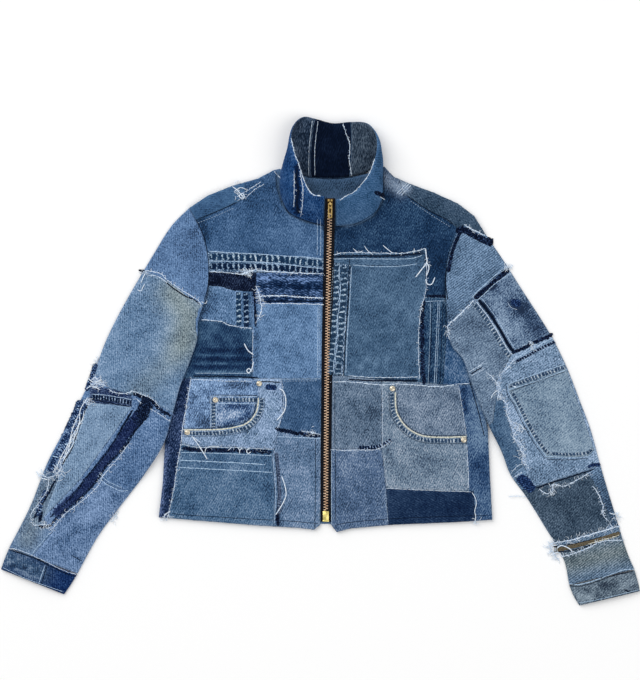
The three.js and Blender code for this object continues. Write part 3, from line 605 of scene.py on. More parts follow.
def cut_piece(name, ring, height, within=None, step=CLOTH_STEP, fray=0.35, thick=SHOWN_PLY,
              grain=0, marks=(), ripples=(), round_edge=0.45, washed=()):
    """A piece of cloth cut to an outline, lying at a height, with walls round its edge.

    ripples are puckers along a line: the line, half width, distance apart and height."""
    rand = chance(name)
    edge = paced(ring, step, closed=True)
    edge = edge + rand.normal(0, fray, edge.shape)
    rings = [edge]
    if within is not None:
        rings.append(paced(within, step, closed=True))
    low, high = edge.min(axis=0), edge.max(axis=0)
    ys = np.arange(low[1], high[1], step * 0.866)
    grid = np.array([(x + (k % 2) * step / 2, y) for k, y in enumerate(ys)
                     for x in np.arange(low[0], high[0], step)])
    grid = grid + rand.normal(0, 0.08 * step, grid.shape)
    keep = np.ones(len(grid), bool)
    for line in rings:
        keep &= is_inside(grid, line)
        grid, keep = grid[keep], keep[keep]
        gap, _ = near_line(grid, line, closed=True)
        keep = gap > 0.55 * step
        grid, keep = grid[keep], keep[keep]
    loops, start = [], 0
    for line in rings:
        loops.append(list(range(start, start + len(line))))
        start += len(line)
    found = delaunay_2d_cdt([Vector(p) for p in np.vstack([*rings, grid])], [], loops, 1, 1e-4)
    tris = np.array([f for f, source in zip(found[2], found[5]) if len(source) == len(rings)])
    used, tris = np.unique(tris, return_inverse=True)
    tris = tris.reshape(-1, 3)
    xy = np.array([tuple(p) for p in found[0]])[used]
    rim = np.full(len(xy), np.inf)
    for line in rings:
        rim = np.minimum(rim, near_line(xy, line, closed=True)[0])
    z = height(xy)
    for line, width, apart, rise in ripples:
        gap, along = near_line(xy, line)
        z = z + rise * np.sin(2 * np.pi * along / apart) * np.exp(-(gap / width) ** 2)
    rounded = round_edge * (1 - smooth_step(0, ROUNDED_WITHIN, rim))
    z = z - rounded
    top = np.column_stack([xy, z])
    under = np.column_stack([xy, z - thick + rounded * 0.5])
    count = len(xy)
    directed = {(a, b) for t in tris for a, b in ((t[0], t[1]), (t[1], t[2]), (t[2], t[0]))}
    walls = [(a, a + count, b + count, b) for a, b in directed if (b, a) not in directed]
    walls.sort()
    faces = [*tris.tolist(), *(tris[:, ::-1] + count).tolist(), *walls]
    tone = soft_marks(xy, marks)
    uv = turned_uv(xy, grain)
    piece = make_object(name, np.vstack([top, under]), faces, np.vstack([uv, uv]),
                        {"tone": np.tile(tone, 2), "rim": np.tile(rim, 2),
                         "washed": np.tile(np.minimum(soft_marks(xy, washed), 1), 2)})
    corners = xy[tris]
    a, b = corners[:, 1] - corners[:, 0], corners[:, 2] - corners[:, 0]
    area = float(np.abs(a[:, 0] * b[:, 1] - a[:, 1] * b[:, 0]).sum() / 2) * MM * MM
    SHOWN.append(piece)
    return piece, cut_size(xy), area


def sleeve_tube(name, sleeve, rows, ply, grain, marks=(), washed=(), columns=44):
    """The flattened tube of a sleeve or cuff: an outer and an inner skin, open at both ends."""
    shares = (1 - np.cos(np.pi * np.arange(columns + 1) / columns)) / 2
    shares = 0.5 * shares + 0.5 * np.arange(columns + 1) / columns
    outer, inner = [], []
    for along in np.linspace(0, 1, rows):
        row = np.array([sleeve.plan(along, u) for u in shares])
        inward = (row[-1] - row[0]) / np.linalg.norm(row[-1] - row[0]) * ply
        full = sleeve.roundness(shares)[:, None]
        base = sleeve.floor(row)[:, None]
        half = sleeve.thick(shares)[:, None] / 2
        folds = soft_marks(row, SLEEVE_FOLDS)[:, None] * full
        above = np.hstack([row, base + half + half * full + folds])
        below = np.hstack([row, base + half - half * full])
        pulled = row + inward * (1 - 2 * shares)[:, None]
        room = half - ply
        lining = np.hstack([pulled, base + half - room * full])
        ceiling = np.hstack([pulled, base + half + room * full + folds])
        outer.append(np.vstack([above, below[-2:0:-1]]))
        inner.append(np.vstack([ceiling, lining[-2:0:-1]]))
    ring = len(outer[0])
    count = rows * ring
    points = np.vstack([*outer, *inner])
    faces = []
    for i in range(rows - 1):
        for k in range(ring):
            m = (k + 1) % ring
            a, b, c, d = i * ring + k, i * ring + m, (i + 1) * ring + m, (i + 1) * ring + k
            faces.append((a, d, c, b))
            faces.append((a + count, b + count, c + count, d + count))
    for k in range(ring):
        m = (k + 1) % ring
        last = (rows - 1) * ring
        faces.append((k, m, m + count, k + count))
        faces.append((last + k, last + k + count, last + m + count, last + m))
    xy = points[:, :2]
    tone = soft_marks(xy, marks)
    share = sleeve.across(xy)
    rim = np.minimum(share, 1 - share) * SLEEVE_RIM
    faces = facing_out(points, faces)
    piece = make_object(name, points, faces, turned_uv(xy, grain), {
        "tone": tone, "rim": rim + 2, "washed": np.minimum(soft_marks(xy, washed), 1)})
    around = [np.linalg.norm(np.diff(np.vstack([r, r[:1]]), axis=0), axis=1).sum() for r in outer]
    length = lengths_along(sleeve.outer)[-1]
    SHOWN.append(piece)
    area = surface_of(points[:count], [f for f in faces if max(f) < count])
    return piece, (max(around) * MM, length * MM), area * MM * MM


def volume_of(points, faces):
    """The volume that a closed mesh encloses, its faces taken as fans; negative if inside out."""
    total = 0.0
    for size in {len(f) for f in faces}:
        group = points[np.array([f for f in faces if len(f) == size])]
        for k in range(1, size - 1):
            total += np.einsum("ij,ij->i", group[:, 0],
                               np.cross(group[:, k], group[:, k + 1])).sum()
    return total


def facing_out(points, faces):
    return [f[::-1] for f in faces] if volume_of(points, faces) < 0 else faces


def ring_faces(count, wide):
    """Faces of a closed tube of count rings, each of wide points, with both ends shut."""
    faces = []
    for i in range(0, (count - 1) * wide, wide):
        for k in range(wide):
            m = (k + 1) % wide
            faces.append((i + k, i + wide + k, i + wide + m, i + m))
    faces.append(tuple(range(wide)))
    faces.append(tuple((count - 1) * wide + k for k in reversed(range(wide))))
    return faces


def surface_of(points, faces):
    quads = points[np.array([f for f in faces if len(f) == 4])]
    halves = [np.cross(quads[:, 1] - quads[:, 0], quads[:, 2] - quads[:, 0]),
              np.cross(quads[:, 2] - quads[:, 0], quads[:, 3] - quads[:, 0])]
    return float(sum(np.linalg.norm(h, axis=1).sum() / 2 for h in halves))


# ------------------------------------------------------------------ seams, stitches, threads

STEEPEST = 1.6           # slope that a seam or thread follows before it bridges a drop


def side_of(line):
    """Unit vectors to the left of a line at each of its points."""
    ahead = np.gradient(line, axis=0)
    ahead /= np.maximum(np.linalg.norm(ahead, axis=1), 1e-6)[:, None]
    return np.column_stack([-ahead[:, 1], ahead[:, 0]])


def beside(points, distance, pace=3):
    """A smooth line at a distance to the left of the one through the points."""
    line = flowing(points, pace)
    return line + side_of(line) * distance


def bridge_drops(heights, plan):
    """Raises rows of heights that would fall off the edge of the cloth below its neighbours."""
    gaps = np.linalg.norm(np.diff(plan, axis=0), axis=2) * STEEPEST + 0.4
    for k in range(1, len(heights)):
        heights[k] = np.maximum(heights[k], heights[k - 1] - gaps[k - 1])
    for k in range(len(heights) - 2, -1, -1):
        heights[k] = np.maximum(heights[k], heights[k + 1] - gaps[k])


class Trim:
    """Seams, stitches or threads of one finish: one joined piece laid on the cloth."""

    def __init__(self, name):
        self.name = name
        self.rand = chance(name)
        self.places, self.feet, self.faces = [], [], []
        self.uvs, self.tones, self.acrosses = [], [], []
        self.rows = []
        self.count = 0

    def _add(self, count, places, feet, uvs, tone, across):
        """Adds a run of count rings; feet are the plan points that its height is taken at."""
        wide = len(places) // count
        self.places.append(places)
        self.feet.append(feet)
        self.faces.extend([tuple(i + self.count for i in f) for f in ring_faces(count, wide)])
        self.uvs.append(uvs)
        self.tones.append(np.full(len(places), tone))
        self.acrosses.append(across)
        self.rows.append((self.count, count, wide))
        self.count += len(places)

    def strip(self, points, width, rise=0.5, ragged=0.0, tone=0.0, pace=2.5, taper=0.0):
        """A low ridge along a smooth line; ragged is the share of its width that comes and goes,
        and taper how far its ends narrow, in widths."""
        line = flowing(points, pace)
        side = side_of(line)
        run = lengths_along(line)
        count = len(line)
        wide = width / 2 * (1 - ragged * self.rand.random(count))
        if taper:
            near = np.minimum(run, run[-1] - run) / (taper * width)
            wide = wide * (0.3 + 0.7 * np.sqrt(np.clip(near, 0, 1)))
        shift = ragged * width * 0.25 * self.rand.normal(0, 1, count)
        shares = np.array([-1, -0.55, 0, 0.55, 1])
        heights = np.array([-0.45, 0.75, 1, 0.75, -0.45])
        lift = rise * (1 - 0.5 * ragged * self.rand.random(count))
        places, uvs, across = [], [], []
        for share, height in zip(shares, heights):
            xy = line + side * (shift + wide * share)[:, None]
            z = np.where(height > 0, lift * height, -0.45)
            places.append(np.column_stack([xy, z]))
            uvs.append(np.column_stack([run, shift + wide * share]))
            across.append(np.full(count, 0.5 + share / 2))
        places = np.stack(places, axis=1).reshape(-1, 3)
        uvs = np.stack(uvs, axis=1).reshape(-1, 2)
        across = np.stack(across, axis=1).ravel()
        self._add(count, places, places[:, :2], uvs, tone, across)

    def thread(self, points, radius, lifts=(0.4,), sides=5, pace=None, tone=0.0):
        """A round thread through plan points; lifts are its heights over the cloth."""
        line = flowing(points, pace or 2.5)
        count = len(line)
        lift = np.interp(np.linspace(0, 1, count), np.linspace(0, 1, len(lifts)), lifts)
        side = side_of(line)
        places, uvs = [], []
        run = lengths_along(line)
        taper = np.ones(count)
        taper[0] = taper[-1] = 0.55
        for k in range(sides):
            a = 2 * math.pi * k / sides
            xy = line + side * (radius * taper * math.cos(a))[:, None]
            places.append(np.column_stack([xy, lift + radius * taper * math.sin(a)]))
            uvs.append(np.column_stack([run, np.full(count, radius * a)]))
        places = np.stack(places, axis=1).reshape(-1, 3)
        uvs = np.stack(uvs, axis=1).reshape(-1, 2)
        self._add(count, places, np.repeat(line, sides, axis=0), uvs, tone,
                  np.full(len(places), 0.5))

    def fray(self, points, apart=2.2, length=5.0, radius=0.34, lean=1.0, tone=0.0):
        """Short weft ends standing out of a raw edge, at random angles."""
        line = flowing(points, 2)
        side = side_of(line)
        run = lengths_along(line)
        for place in np.arange(0, run[-1], apart):
            k = int(np.searchsorted(run, place))
            k = min(k, len(line) - 1)
            start = line[k] + self.rand.normal(0, 0.5, 2)
            way = side[k] * self.rand.choice([-1, 1]) * lean + self.rand.normal(0, 0.6, 2)
            way /= max(np.linalg.norm(way), 1e-6)
            reach = length * (0.35 + 0.9 * self.rand.random())
            bend = np.array([-way[1], way[0]]) * reach * self.rand.normal(0, 0.25)
            middle = start + way * reach * 0.5 + bend
            lift = 0.3 + 0.9 * self.rand.random()
            self.thread([start, middle, start + way * reach],
                        radius * (0.8 + 0.5 * self.rand.random()),
                        (0.2, lift, 0.3), sides=3, pace=reach / 3, tone=tone)

    def stitches(self, points, length=3.0, gap=1.5, radius=0.42, tone=0.0):
        """A row of machine stitches sunk a little into the cloth."""
        line = flowing(points, 1.5)
        run = lengths_along(line)
        for start in np.arange(0, run[-1] - length, length + gap):
            ends = [np.array([np.interp(s, run, line[:, k]) for k in (0, 1)])
                    for s in (start, start + length / 2, start + length)]
            self.thread(ends, radius, (0.0, 0.3, 0.0), sides=4, pace=length, tone=tone)

    def finish(self, material, slot, ground):
        places = np.vstack(self.places)
        feet = np.vstack(self.feet)
        base = ground(feet)
        for start, count, wide in self.rows:
            heights = base[start:start + wide * count].reshape(count, wide)
            plan = feet[start:start + wide * count].reshape(count, wide, 2)
            over = np.maximum(heights[:, :-1], heights[:, 1:])
            heights[:, 1:-1] = np.maximum(over[:, :-1], over[:, 1:])
            bridge_drops(heights.T, plan.transpose(1, 0, 2))
            bridge_drops(heights, plan)
        points = np.column_stack([places[:, :2], base + places[:, 2]])
        faces = facing_out(points, self.faces)
        piece = make_object(self.name, points, faces, np.vstack(self.uvs),
                            {"tone": np.concatenate(self.tones),
                             "across": np.concatenate(self.acrosses)})
        drop_loose(piece)
        return dress(piece, material)


def drop_loose(piece):
    """Takes away points that no face uses."""
    work = bmesh.new()
    work.from_mesh(piece.data)
    bmesh.ops.delete(work, geom=[v for v in work.verts if not v.link_faces], context="VERTS")
    work.to_mesh(piece.data)
    work.free()


def cloth_ground():
    """Height of the topmost cloth at plan points."""
    points, faces, start = [], [], 0
    for piece in SHOWN:
        co = np.empty(len(piece.data.vertices) * 3, np.float32)
        piece.data.vertices.foreach_get("co", co)
        points.extend(map(tuple, co.reshape(-1, 3) / MM))
        faces.extend(tuple(v + start for v in p.vertices) for p in piece.data.polygons)
        start += len(piece.data.vertices)
    tree = BVHTree.FromPolygons(points, faces)
    down = Vector((0, 0, -1))

    def ground(xy):
        heights = np.empty(len(xy))
        for k, (x, y) in enumerate(xy):
            hit = tree.ray_cast(Vector((x, y, 200)), down)[0]
            if hit is None:
                near = tree.find_nearest(Vector((x, y, 3)), 12)[0]
                heights[k] = near.z - 0.6 if near is not None else 0.6
            else:
                heights[k] = hit.z
        return heights
    return ground


# ------------------------------------------------------------------ the fronts

POCKET_CURVE_RIGHT = [
    (-99.5, -32), (-99.5, -59), (-100, -71), (-103, -82), (-111, -94), (-123, -102),
    (-138, -106), (-157, -109), (-182, -110), (-219, -110)]
POCKET_CURVE_LEFT = [
    (119.6, -32), (119.6, -50), (120, -69), (122, -82), (128, -94), (137, -105), (153, -116),
    (172, -121), (201, -122), (234, -121)]

DENIMS = {
    "upper_right": denim("washed mid blue denim", "#2a496e", "#3b5a80", "#527197"),
    "yoke_right": denim("smooth blue denim", "#304e71", "#3f6086", "#4e7094", speckle=1.0),
    "gathered_right": denim("puckered blue denim", "#1c3a5c", "#425c7a", "#809ab7"),
    "black": denim("near black overdyed denim", "#040a1b", "#0d1730", "#2c3a55", speckle=1.2),
    "streaked": denim("streaked dark denim", "#071c3c", "#1c3558", "#4d6892", speckle=1.0,
                      streak=1.1),
    "light_side": denim("light blue denim", "#426187", "#5a7a9e", "#7896bc"),
    "large_right": denim("light mid blue denim", "#446389", "#5a7aa0", "#7191b8"),
    "teal": denim("green cast dark denim", "#12284a", "#294666", "#476584", speckle=0.9),
    "facing_right": denim("pocket facing denim", "#425c7e", "#6582aa", "#88a6cc", cloud=1.1),
    "coin": denim("coin pocket denim", "#324e79", "#6784a9", "#94a9c6"),
    "jeans_right": denim("old jeans denim", "#54708f", "#7b93b2", "#9ab1d1"),
    "centre_right": denim("dark mid blue denim", "#2a476a", "#3b597d", "#526f92"),
    "low_centre_right": denim("grey blue denim", "#46607f", "#5f7a9a", "#8297b4"),
    "hem_right": denim("stone washed denim", "#355374", "#4d6c8c", "#6c85a2"),
    "side_dark": denim("side strip navy denim", "#091935", "#1b2e4f", "#42557a"),
    "upper_left": denim("dark washed denim", "#112a48", "#1e395a", "#345171", wash="#8296b0"),
    "yoke_left": denim("dark grey denim", "#283e54", "#394e65", "#4b6077", speckle=1.6,
                       wash="#8296b0"),
    "gathered_left": denim("roped seam denim", "#1f3751", "#496584", "#8fa5be"),
    "large_left": denim("even mid blue denim", "#324d6a", "#44607d", "#587491"),
    "side_panel": denim("side panel denim", "#0f2646", "#22405f", "#47637f"),
    "side_blue": denim("side piece denim", "#1a385c", "#2d5077", "#547092"),
    "centre_left": denim("slate denim", "#42576f", "#5f748c", "#7a8ca2"),
    "facing_left": denim("grey facing denim", "#465a73", "#667990", "#8696ab"),
    "jeans_left": denim("grey washed jeans denim", "#52667e", "#6f8499", "#91a0b2"),
    "side_strip": denim("side strip blue denim", "#1e3a60", "#39557a", "#587393"),
    "low_centre_left": denim("faded slate denim", "#3b5270", "#50688a", "#7488a4"),
    "hem_left": denim("deep navy denim", "#0f2140", "#1a2f4d", "#2d4260", speckle=1.2),
    "back": denim("inside of the back denim", "#3f5a78", "#4f6c8f", "#5d7b9f", speckle=0.9),
}

# Pieces of the right front: node, slot, denim, grain, outline, marks, and what else it needs
RIGHT_FRONT = [
    ("yoke_right", "mid_denim", "yoke_right", -62, [
        (-222, 250), (-198, 224), (-175, 235), (-132, 254), (-120, 262), (-122, 300)],
     [([(-190, 232), (-150, 250)], 8, -0.1)], {}),
    ("gathered_band_right", "mid_denim", "gathered_right", 90, [
        (-190, 174), (-142, 172), (-60, 167), (12, 164), (12, 142), (-103, 141), (-190, 143)],
     [], {}),
    ("black_patch_right", "black_denim", "black", 0, [
        (-190, 143), (-103, 141), (-103, 111), (-140, 113), (-159, 119), (-190, 122)], [], {}),
    ("streaked_band_right", "navy_denim", "streaked", 90, [
        (-103, 141), (12, 142), (12, 92), (-109, 92), (-109, 111), (-103, 111)],
     [([(-95, 133), (5, 130)], 3.5, 0.3), ([(-95, 121), (5, 118)], 4, -0.28),
      ([(-95, 110), (5, 109)], 3, 0.1)], {"step": 2.6}),
    ("light_side_patch_right", "light_denim", "light_side", 0, [
        (-190, 122), (-159, 119), (-140, 113), (-109, 111), (-109, 52), (-134, 55), (-157, 63),
        (-240, 66)], [([(-186, 90), (-190, 66)], 8, -0.3), ([(-118, 110), (-116, 56)], 8, -0.4)],
         {}),
    ("large_patch_right", "light_denim", "large_right", 0, [
        (-109, 92), (12, 92), (12, -28), (-109, -28)],
     [([(-60, 60)], 40, 0.05), ([(-4, 88), (-5, -26)], 5, 0.1),
                        ([(-103, 88), (-103, -25)], 5, -0.3)], {}),
    ("teal_patch_right", "dark_denim", "teal", 0, [
        (-240, 66), (-157, 63), (-134, 55), (-109, 52), (-109, -28), (-207, -28), (-255, -28)],
     [([(-190, 16), (-112, 18)], 5, -0.3), ([(-195, 3), (-112, 2)], 4, -0.35),
      ([(-200, -10), (-112, -9)], 4, -0.35), ([(-196, 10), (-130, 9)], 1.6, 0.22),
      ([(-200, -3), (-150, -4)], 1.6, 0.25), ([(-202, -17), (-112, -18)], 2, 0.3),
      ([(-180, 50), (-120, 42)], 14, 0.1)], {"step": 2.6}),
    ("side_strip_right", "navy_denim", "side_dark", 0, [
        (-270, -28), (-207, -28), (-219, -110), (-222, -131), (-232, -189), (-246, -262),
        (-270, -262)], [([(-246, -140), (-256, -240)], 5, 0.3)], {}),
    ("pocket_facing_right", "light_denim", "facing_right", 0, [
        (-207, -28), (-109, -28), *POCKET_CURVE_RIGHT],
     # the second mark is painted shade along the curved edge of the coin pocket, which lies on this
     # piece
     [([(-190, -40)], 14, 0.1), ([(-192, -101), (-150, -99), (-118, -88), (-107, -70)], 8, -0.35),
      ([(-120, -38), (-150, -40)], 6, -0.2)], {}),
    ("jeans_front_right", "light_denim", "jeans_right", 0, [
        *reversed(POCKET_CURVE_RIGHT), (-109, -28), (-62, -28), (-60, -80), (-66, -108),
        (-74, -141), (-135, -137), (-194, -137), (-222, -131)],
     [([(-88, -60), (-90, -110)], 9, 0.12), ([(-120, -118), (-112, -98)], 5, -0.25),
      ([(-185, -125), (-130, -128)], 6, 0.06)], {}),
    ("coin_pocket_right", "mid_denim", "coin", 0, [
        (-176, -56), (-103, -56), (-104, -72), (-107, -82), (-114, -91), (-125, -98),
        (-139, -102), (-176, -106)],
     [([(-148, -73), (-118, -72)], 4, -0.4), ([(-140, -86), (-160, -92)], 8, 0.25),
      ([(-150, -100), (-130, -96), (-113, -86)], 4, -0.3)], {}),
    ("centre_patch_right", "mid_denim", "centre_right", 0, [
        (-62, -28), (12, -28), (12, -120), (-35, -115), (-66, -108), (-60, -80)],
     [([(-55, -45), (-55, -90)], 7, 0.15)], {}),
    ("lower_centre_patch_right", "grey_denim", "low_centre_right", 0, [
        (-66, -108), (-35, -115), (12, -120), (12, -280), (-75, -280), (-73, -213), (-77, -151),
        (-74, -141)], [([(-68, -240), (-66, -262)], 6, -0.4)], {}),
    ("hem_patch_right", "mid_denim", "hem_right", 0, [
        (-222, -131), (-194, -137), (-135, -137), (-74, -141), (-77, -151), (-73, -213),
        (-75, -280), (-246, -280), (-246, -262), (-232, -189)],
     [([(-220, -139), (-80, -144)], 5, -0.6), ([(-200, -215)], 26, -0.1),
      ([(-150, -200)], 20, 0.08)], {}),
]
LEFT_FRONT = [
    ("yoke_left", "grey_denim", "yoke_left", 60, [
        (132, 268), (162, 247), (199, 227), (219, 213), (229, 217), (272, 200), (256, 240),
        (124, 298)], [([(214, 216), (170, 244)], 5, -0.12)],
     {"washed": [([(124, 282), (136, 276)], 9, 0.9)]}),
    ("top_trim_left", "mid_denim", "large_left", 90, [
        (16, 172), (50, 173), (130, 172), (168, 179), (167, 160), (155, 155), (126, 152),
        (49, 153), (16, 158)],
     [([(18, 167), (130, 168), (165, 173)], 3, -0.6), ([(52, 158), (158, 161)], 3, 0.05)],
     {"step": 2.6}),
    ("gathered_strip_left", "mid_denim", "gathered_left", 0, [
        (16, 158), (49, 153), (45, 100), (40, 30), (37, -24), (10, -22)], [], {}),
    ("large_patch_left", "mid_denim", "large_left", 0, [
        (49, 153), (126, 152), (155, 155), (167, 160), (169, 116), (168, 104), (159, 79),
        (157, 46), (157, 6), (160, -34), (98, -30), (37, -24), (40, 30), (45, 100)],
     [([(65, -8), (75, 2)], 5, 0.3), ([(88, -10), (90, 6)], 4, 0.28),
      ([(104, -12), (106, 2)], 4, 0.25), ([(150, 120)], 18, 0.06),
      ([(50, -30), (150, -32)], 3, -0.8)], {"step": 2.8}),
    ("side_panel_left", "dark_denim", "side_panel", 0, [
        (168, 104), (203, 104), (201, 40), (196, -38), (160, -34), (157, 6), (157, 46),
        (159, 79)], [([(177, 90), (173, 40), (170, -34)], 3, 0.12)], {}),
    ("side_patch_left", "mid_denim", "side_blue", 0, [
        (203, 104), (240, 104), (280, 0), (280, -38), (220, -38), (196, -38), (201, 40)],
     [([(205, -20), (235, -20)], 10, 0.2)], {}),
    ("centre_patch_left", "grey_denim", "centre_left", 0, [
        (10, -22), (37, -24), (98, -30), (98, -141), (10, -141)],
     [([(75, -80)], 18, -0.06)], {}),
    ("pocket_facing_left", "grey_denim", "facing_left", 0, [
        (160, -34), (196, -38), (220, -38), (227, -78), *reversed(POCKET_CURVE_LEFT)],
     [([(150, -70), (160, -100)], 12, 0.12), ([(215, -60)], 14, -0.12)], {}),
    ("jeans_front_left", "grey_denim", "jeans_left", 0, [
        (98, -30), *POCKET_CURVE_LEFT, (237, -208), (167, -206), (105, -203), (98, -141)],
     [([(118, -120), (125, -150)], 9, 0.12), ([(220, -150), (228, -190)], 8, 0.1),
      ([(104, -40), (106, -130)], 4, 0.1)], {}),
    ("side_strip_left", "dark_denim", "side_strip", 0, [
        (220, -38), (285, -38), (285, -275), (249, -275), (245, -208), (237, -208),
        (234, -121), (227, -78)],
     [([(228, -45), (232, -78)], 5, -0.4), ([(255, -165), (256, -195)], 14, -0.1),
      ([(250, -70), (252, -130)], 18, 0.35)], {}),
    ("lower_centre_patch_left", "grey_denim", "low_centre_left", 0, [
        (10, -141), (98, -141), (105, -203), (110, -280), (10, -280)],
     [([(40, -165)], 20, 0.08), ([(100, -155), (106, -200)], 4, -0.15)], {}),
    ("hem_patch_left", "navy_denim", "hem_left", 90, [
        (105, -203), (167, -206), (237, -208), (245, -208), (249, -280), (110, -280)], [], {}),
]


def make_body():
    back, size, area = cut_piece("back_cloth", inset(BACK, SEAM_GAP), lambda xy: np.full(
        len(xy), BACK_PLY + 0.15), step=6, thick=BACK_PLY, fray=0.1, marks=[
            ([(-20, 280), (60, 280)], 14, -0.25)])
    dress(back, DENIMS["back"], ["back"])
    bases = [
        ("front_right", FRONT_RIGHT, "body_denim_right", "upper_right", [
            ([(-192, 226), (-182, 196)], 9, -0.4), ([(-70, 188), (-20, 195)], 36, 0.12),
            ([(-112, 262)], 36, -0.1), ([(-70, 240), (-60, 222)], 10, -0.15)]),
        ("front_left", FRONT_LEFT, "body_denim_left", "upper_left", [
            ([(75, 205), (110, 215)], 30, 0.1), ([(120, 250)], 20, 0.1),
            ([(170, 200), (195, 160)], 24, -0.15), ([(110, 262)], 12, -0.25)]),
    ]
    lit = {"front_left": [([(106, 292), (128, 275)], 11, 0.85)]}
    for node_name, outline, slot, cloth, marks in bases:
        piece, size, area = cut_piece(node_name + "_cloth", inset(outline, 0.2), front_top(0),
                                      marks=marks, fray=0.15, washed=lit.get(node_name, ()))
        dress(piece, DENIMS[cloth], [node_name])
    for rows, outline, base in ((RIGHT_FRONT, FRONT_RIGHT, "front_right_cloth"),
                                (LEFT_FRONT, FRONT_LEFT, "front_left_cloth")):
        for node_name, slot, cloth, grain, ring, marks, more in rows:
            layer = 2 if node_name.startswith("coin") else 1
            piece, size, area = cut_piece(
                node_name + "_cloth", inset(ring, 0.15), front_top(layer),
                within=inset(outline, 0.35), grain=grain, marks=marks, **more)
            dress(piece, DENIMS[cloth], [node_name])


# ------------------------------------------------------------------ sleeves and cuffs

DENIMS.update({
    "cap_right": denim("soft light sleeve denim", "#456288", "#5b79a1", "#708fb7",
                       wash="#6c8298"),
    "light_sleeve": denim("pale sleeve denim", "#4d6b8d", "#6684a5", "#829cbb",
                          wash="#7f9096"),
    "waistband": denim("navy waistband denim", "#101d3c", "#213257", "#46597c"),
    "long_right": denim("bleached sleeve denim", "#617c9a", "#7792b1", "#8ea8c4"),
    "inner_right": denim("inner sleeve denim", "#38557c", "#527098", "#728eb4"),
    "lower_right": denim("bright lower sleeve denim", "#405e86", "#647ea2", "#7d98be"),
    "cuff_right": denim("royal navy cuff denim", "#041a44", "#112c5b", "#264371",
                        wash="#3b587a"),
    "cap_left": denim("twill sleeve denim", "#435c78", "#5b7592", "#7691b0", twill=0.45,
                      wash="#5b6c74"),
    "jeans_sleeve": denim("sleeve jeans denim", "#384f6f", "#637a96", "#8298b2"),
    "grey_sleeve": denim("grey sleeve denim", "#4a5f79", "#657b94", "#8297af"),
    "dark_sleeve": denim("dark inner sleeve denim", "#314d6d", "#466382", "#5c7896"),
    "field_sleeve": denim("pale field denim", "#516a86", "#7690ad", "#9ab1ce"),
    "pocket_sleeve": denim("back pocket denim", "#59728c", "#7a90a5", "#8fa4b7"),
    "dark_patch": denim("dark grey patch denim", "#26384b", "#3d4f62", "#56697d"),
    "cuff_left": denim("grey cuff denim", "#435363", "#647483", "#8292a0"),
    "collar_royal": denim("royal blue collar denim", "#0c2b56", "#1f4576", "#375b8a"),
    "collar_light": denim("lighter collar denim", "#2e547a", "#3f628a", "#52769e", speckle=1.2),
    "lining_right": denim("slate collar lining", "#1b2a3e", "#314156", "#4a5a70", speckle=1.8),
    "lining_back": denim("near black collar lining", "#040d1e", "#081328", "#101d33", speckle=1),
    "lining_left": denim("grey collar lining", "#2a3848", "#3f4e60", "#526172", speckle=1.8),
})

RIGHT_SLEEVE_PATCHES = [
    ("sleeve_light_patch_right", "light_denim", "light_sleeve", 28, [
        (-310, 150), (-276, 143), (-248, 130), (-214, 105), (-170, 78), (-170, -84), (-235, -84),
        (-255, -73), (-270, -62), (-302, -54), (-337, -44), (-356, -24), (-390, -15)],
     [([(-215, 60)], 16, -0.1)],
     {"washed": [([(-232, 108), (-212, 72), (-218, 30)], 30, 0.95),
                 ([(-240, 0), (-290, -48)], 22, 0.4)]}),
    ("sleeve_waistband_right", "navy_denim", "waistband", 100, [
        (-368, -40), (-337, -44), (-302, -54), (-302, -73), (-371, -66)], [], {"step": 2.6}),
    ("sleeve_long_patch_right", "light_denim", "long_right", 28, [
        (-371, -66), (-302, -73), (-330, -115), (-385, -190), (-443, -251), (-425, -205),
        (-397, -130)], [], {}),
    ("sleeve_inner_patch_right", "mid_denim", "inner_right", 28, [
        (-302, -73), (-302, -54), (-270, -62), (-255, -73), (-235, -84), (-200, -90),
        (-270, -205), (-308, -208), (-335, -200), (-354, -187), (-385, -190), (-330, -115)],
     [([(-320, -125), (-345, -160)], 10, -0.2)], {}),
    ("sleeve_lower_patch_right", "mid_denim", "lower_right", 28, [
        (-354, -187), (-335, -200), (-308, -208), (-270, -205), (-370, -350), (-460, -312),
        (-428, -274), (-443, -251), (-385, -190)],
     # the darker lines among these marks are painted shade in the sleeve's diagonal creases
     [([(-345, -220), (-372, -255)], 12, 0.2), ([(-395, -312), (-372, -326)], 4, -0.3),
      ([(-350, -262), (-385, -268), (-415, -290)], 7, -0.18),
      ([(-420, -265), (-385, -225)], 9, -0.1),
      ([(-330, -215), (-322, -232)], 7, -0.15), ([(-372, -305), (-400, -318)], 7, 0.15)], {}),
]
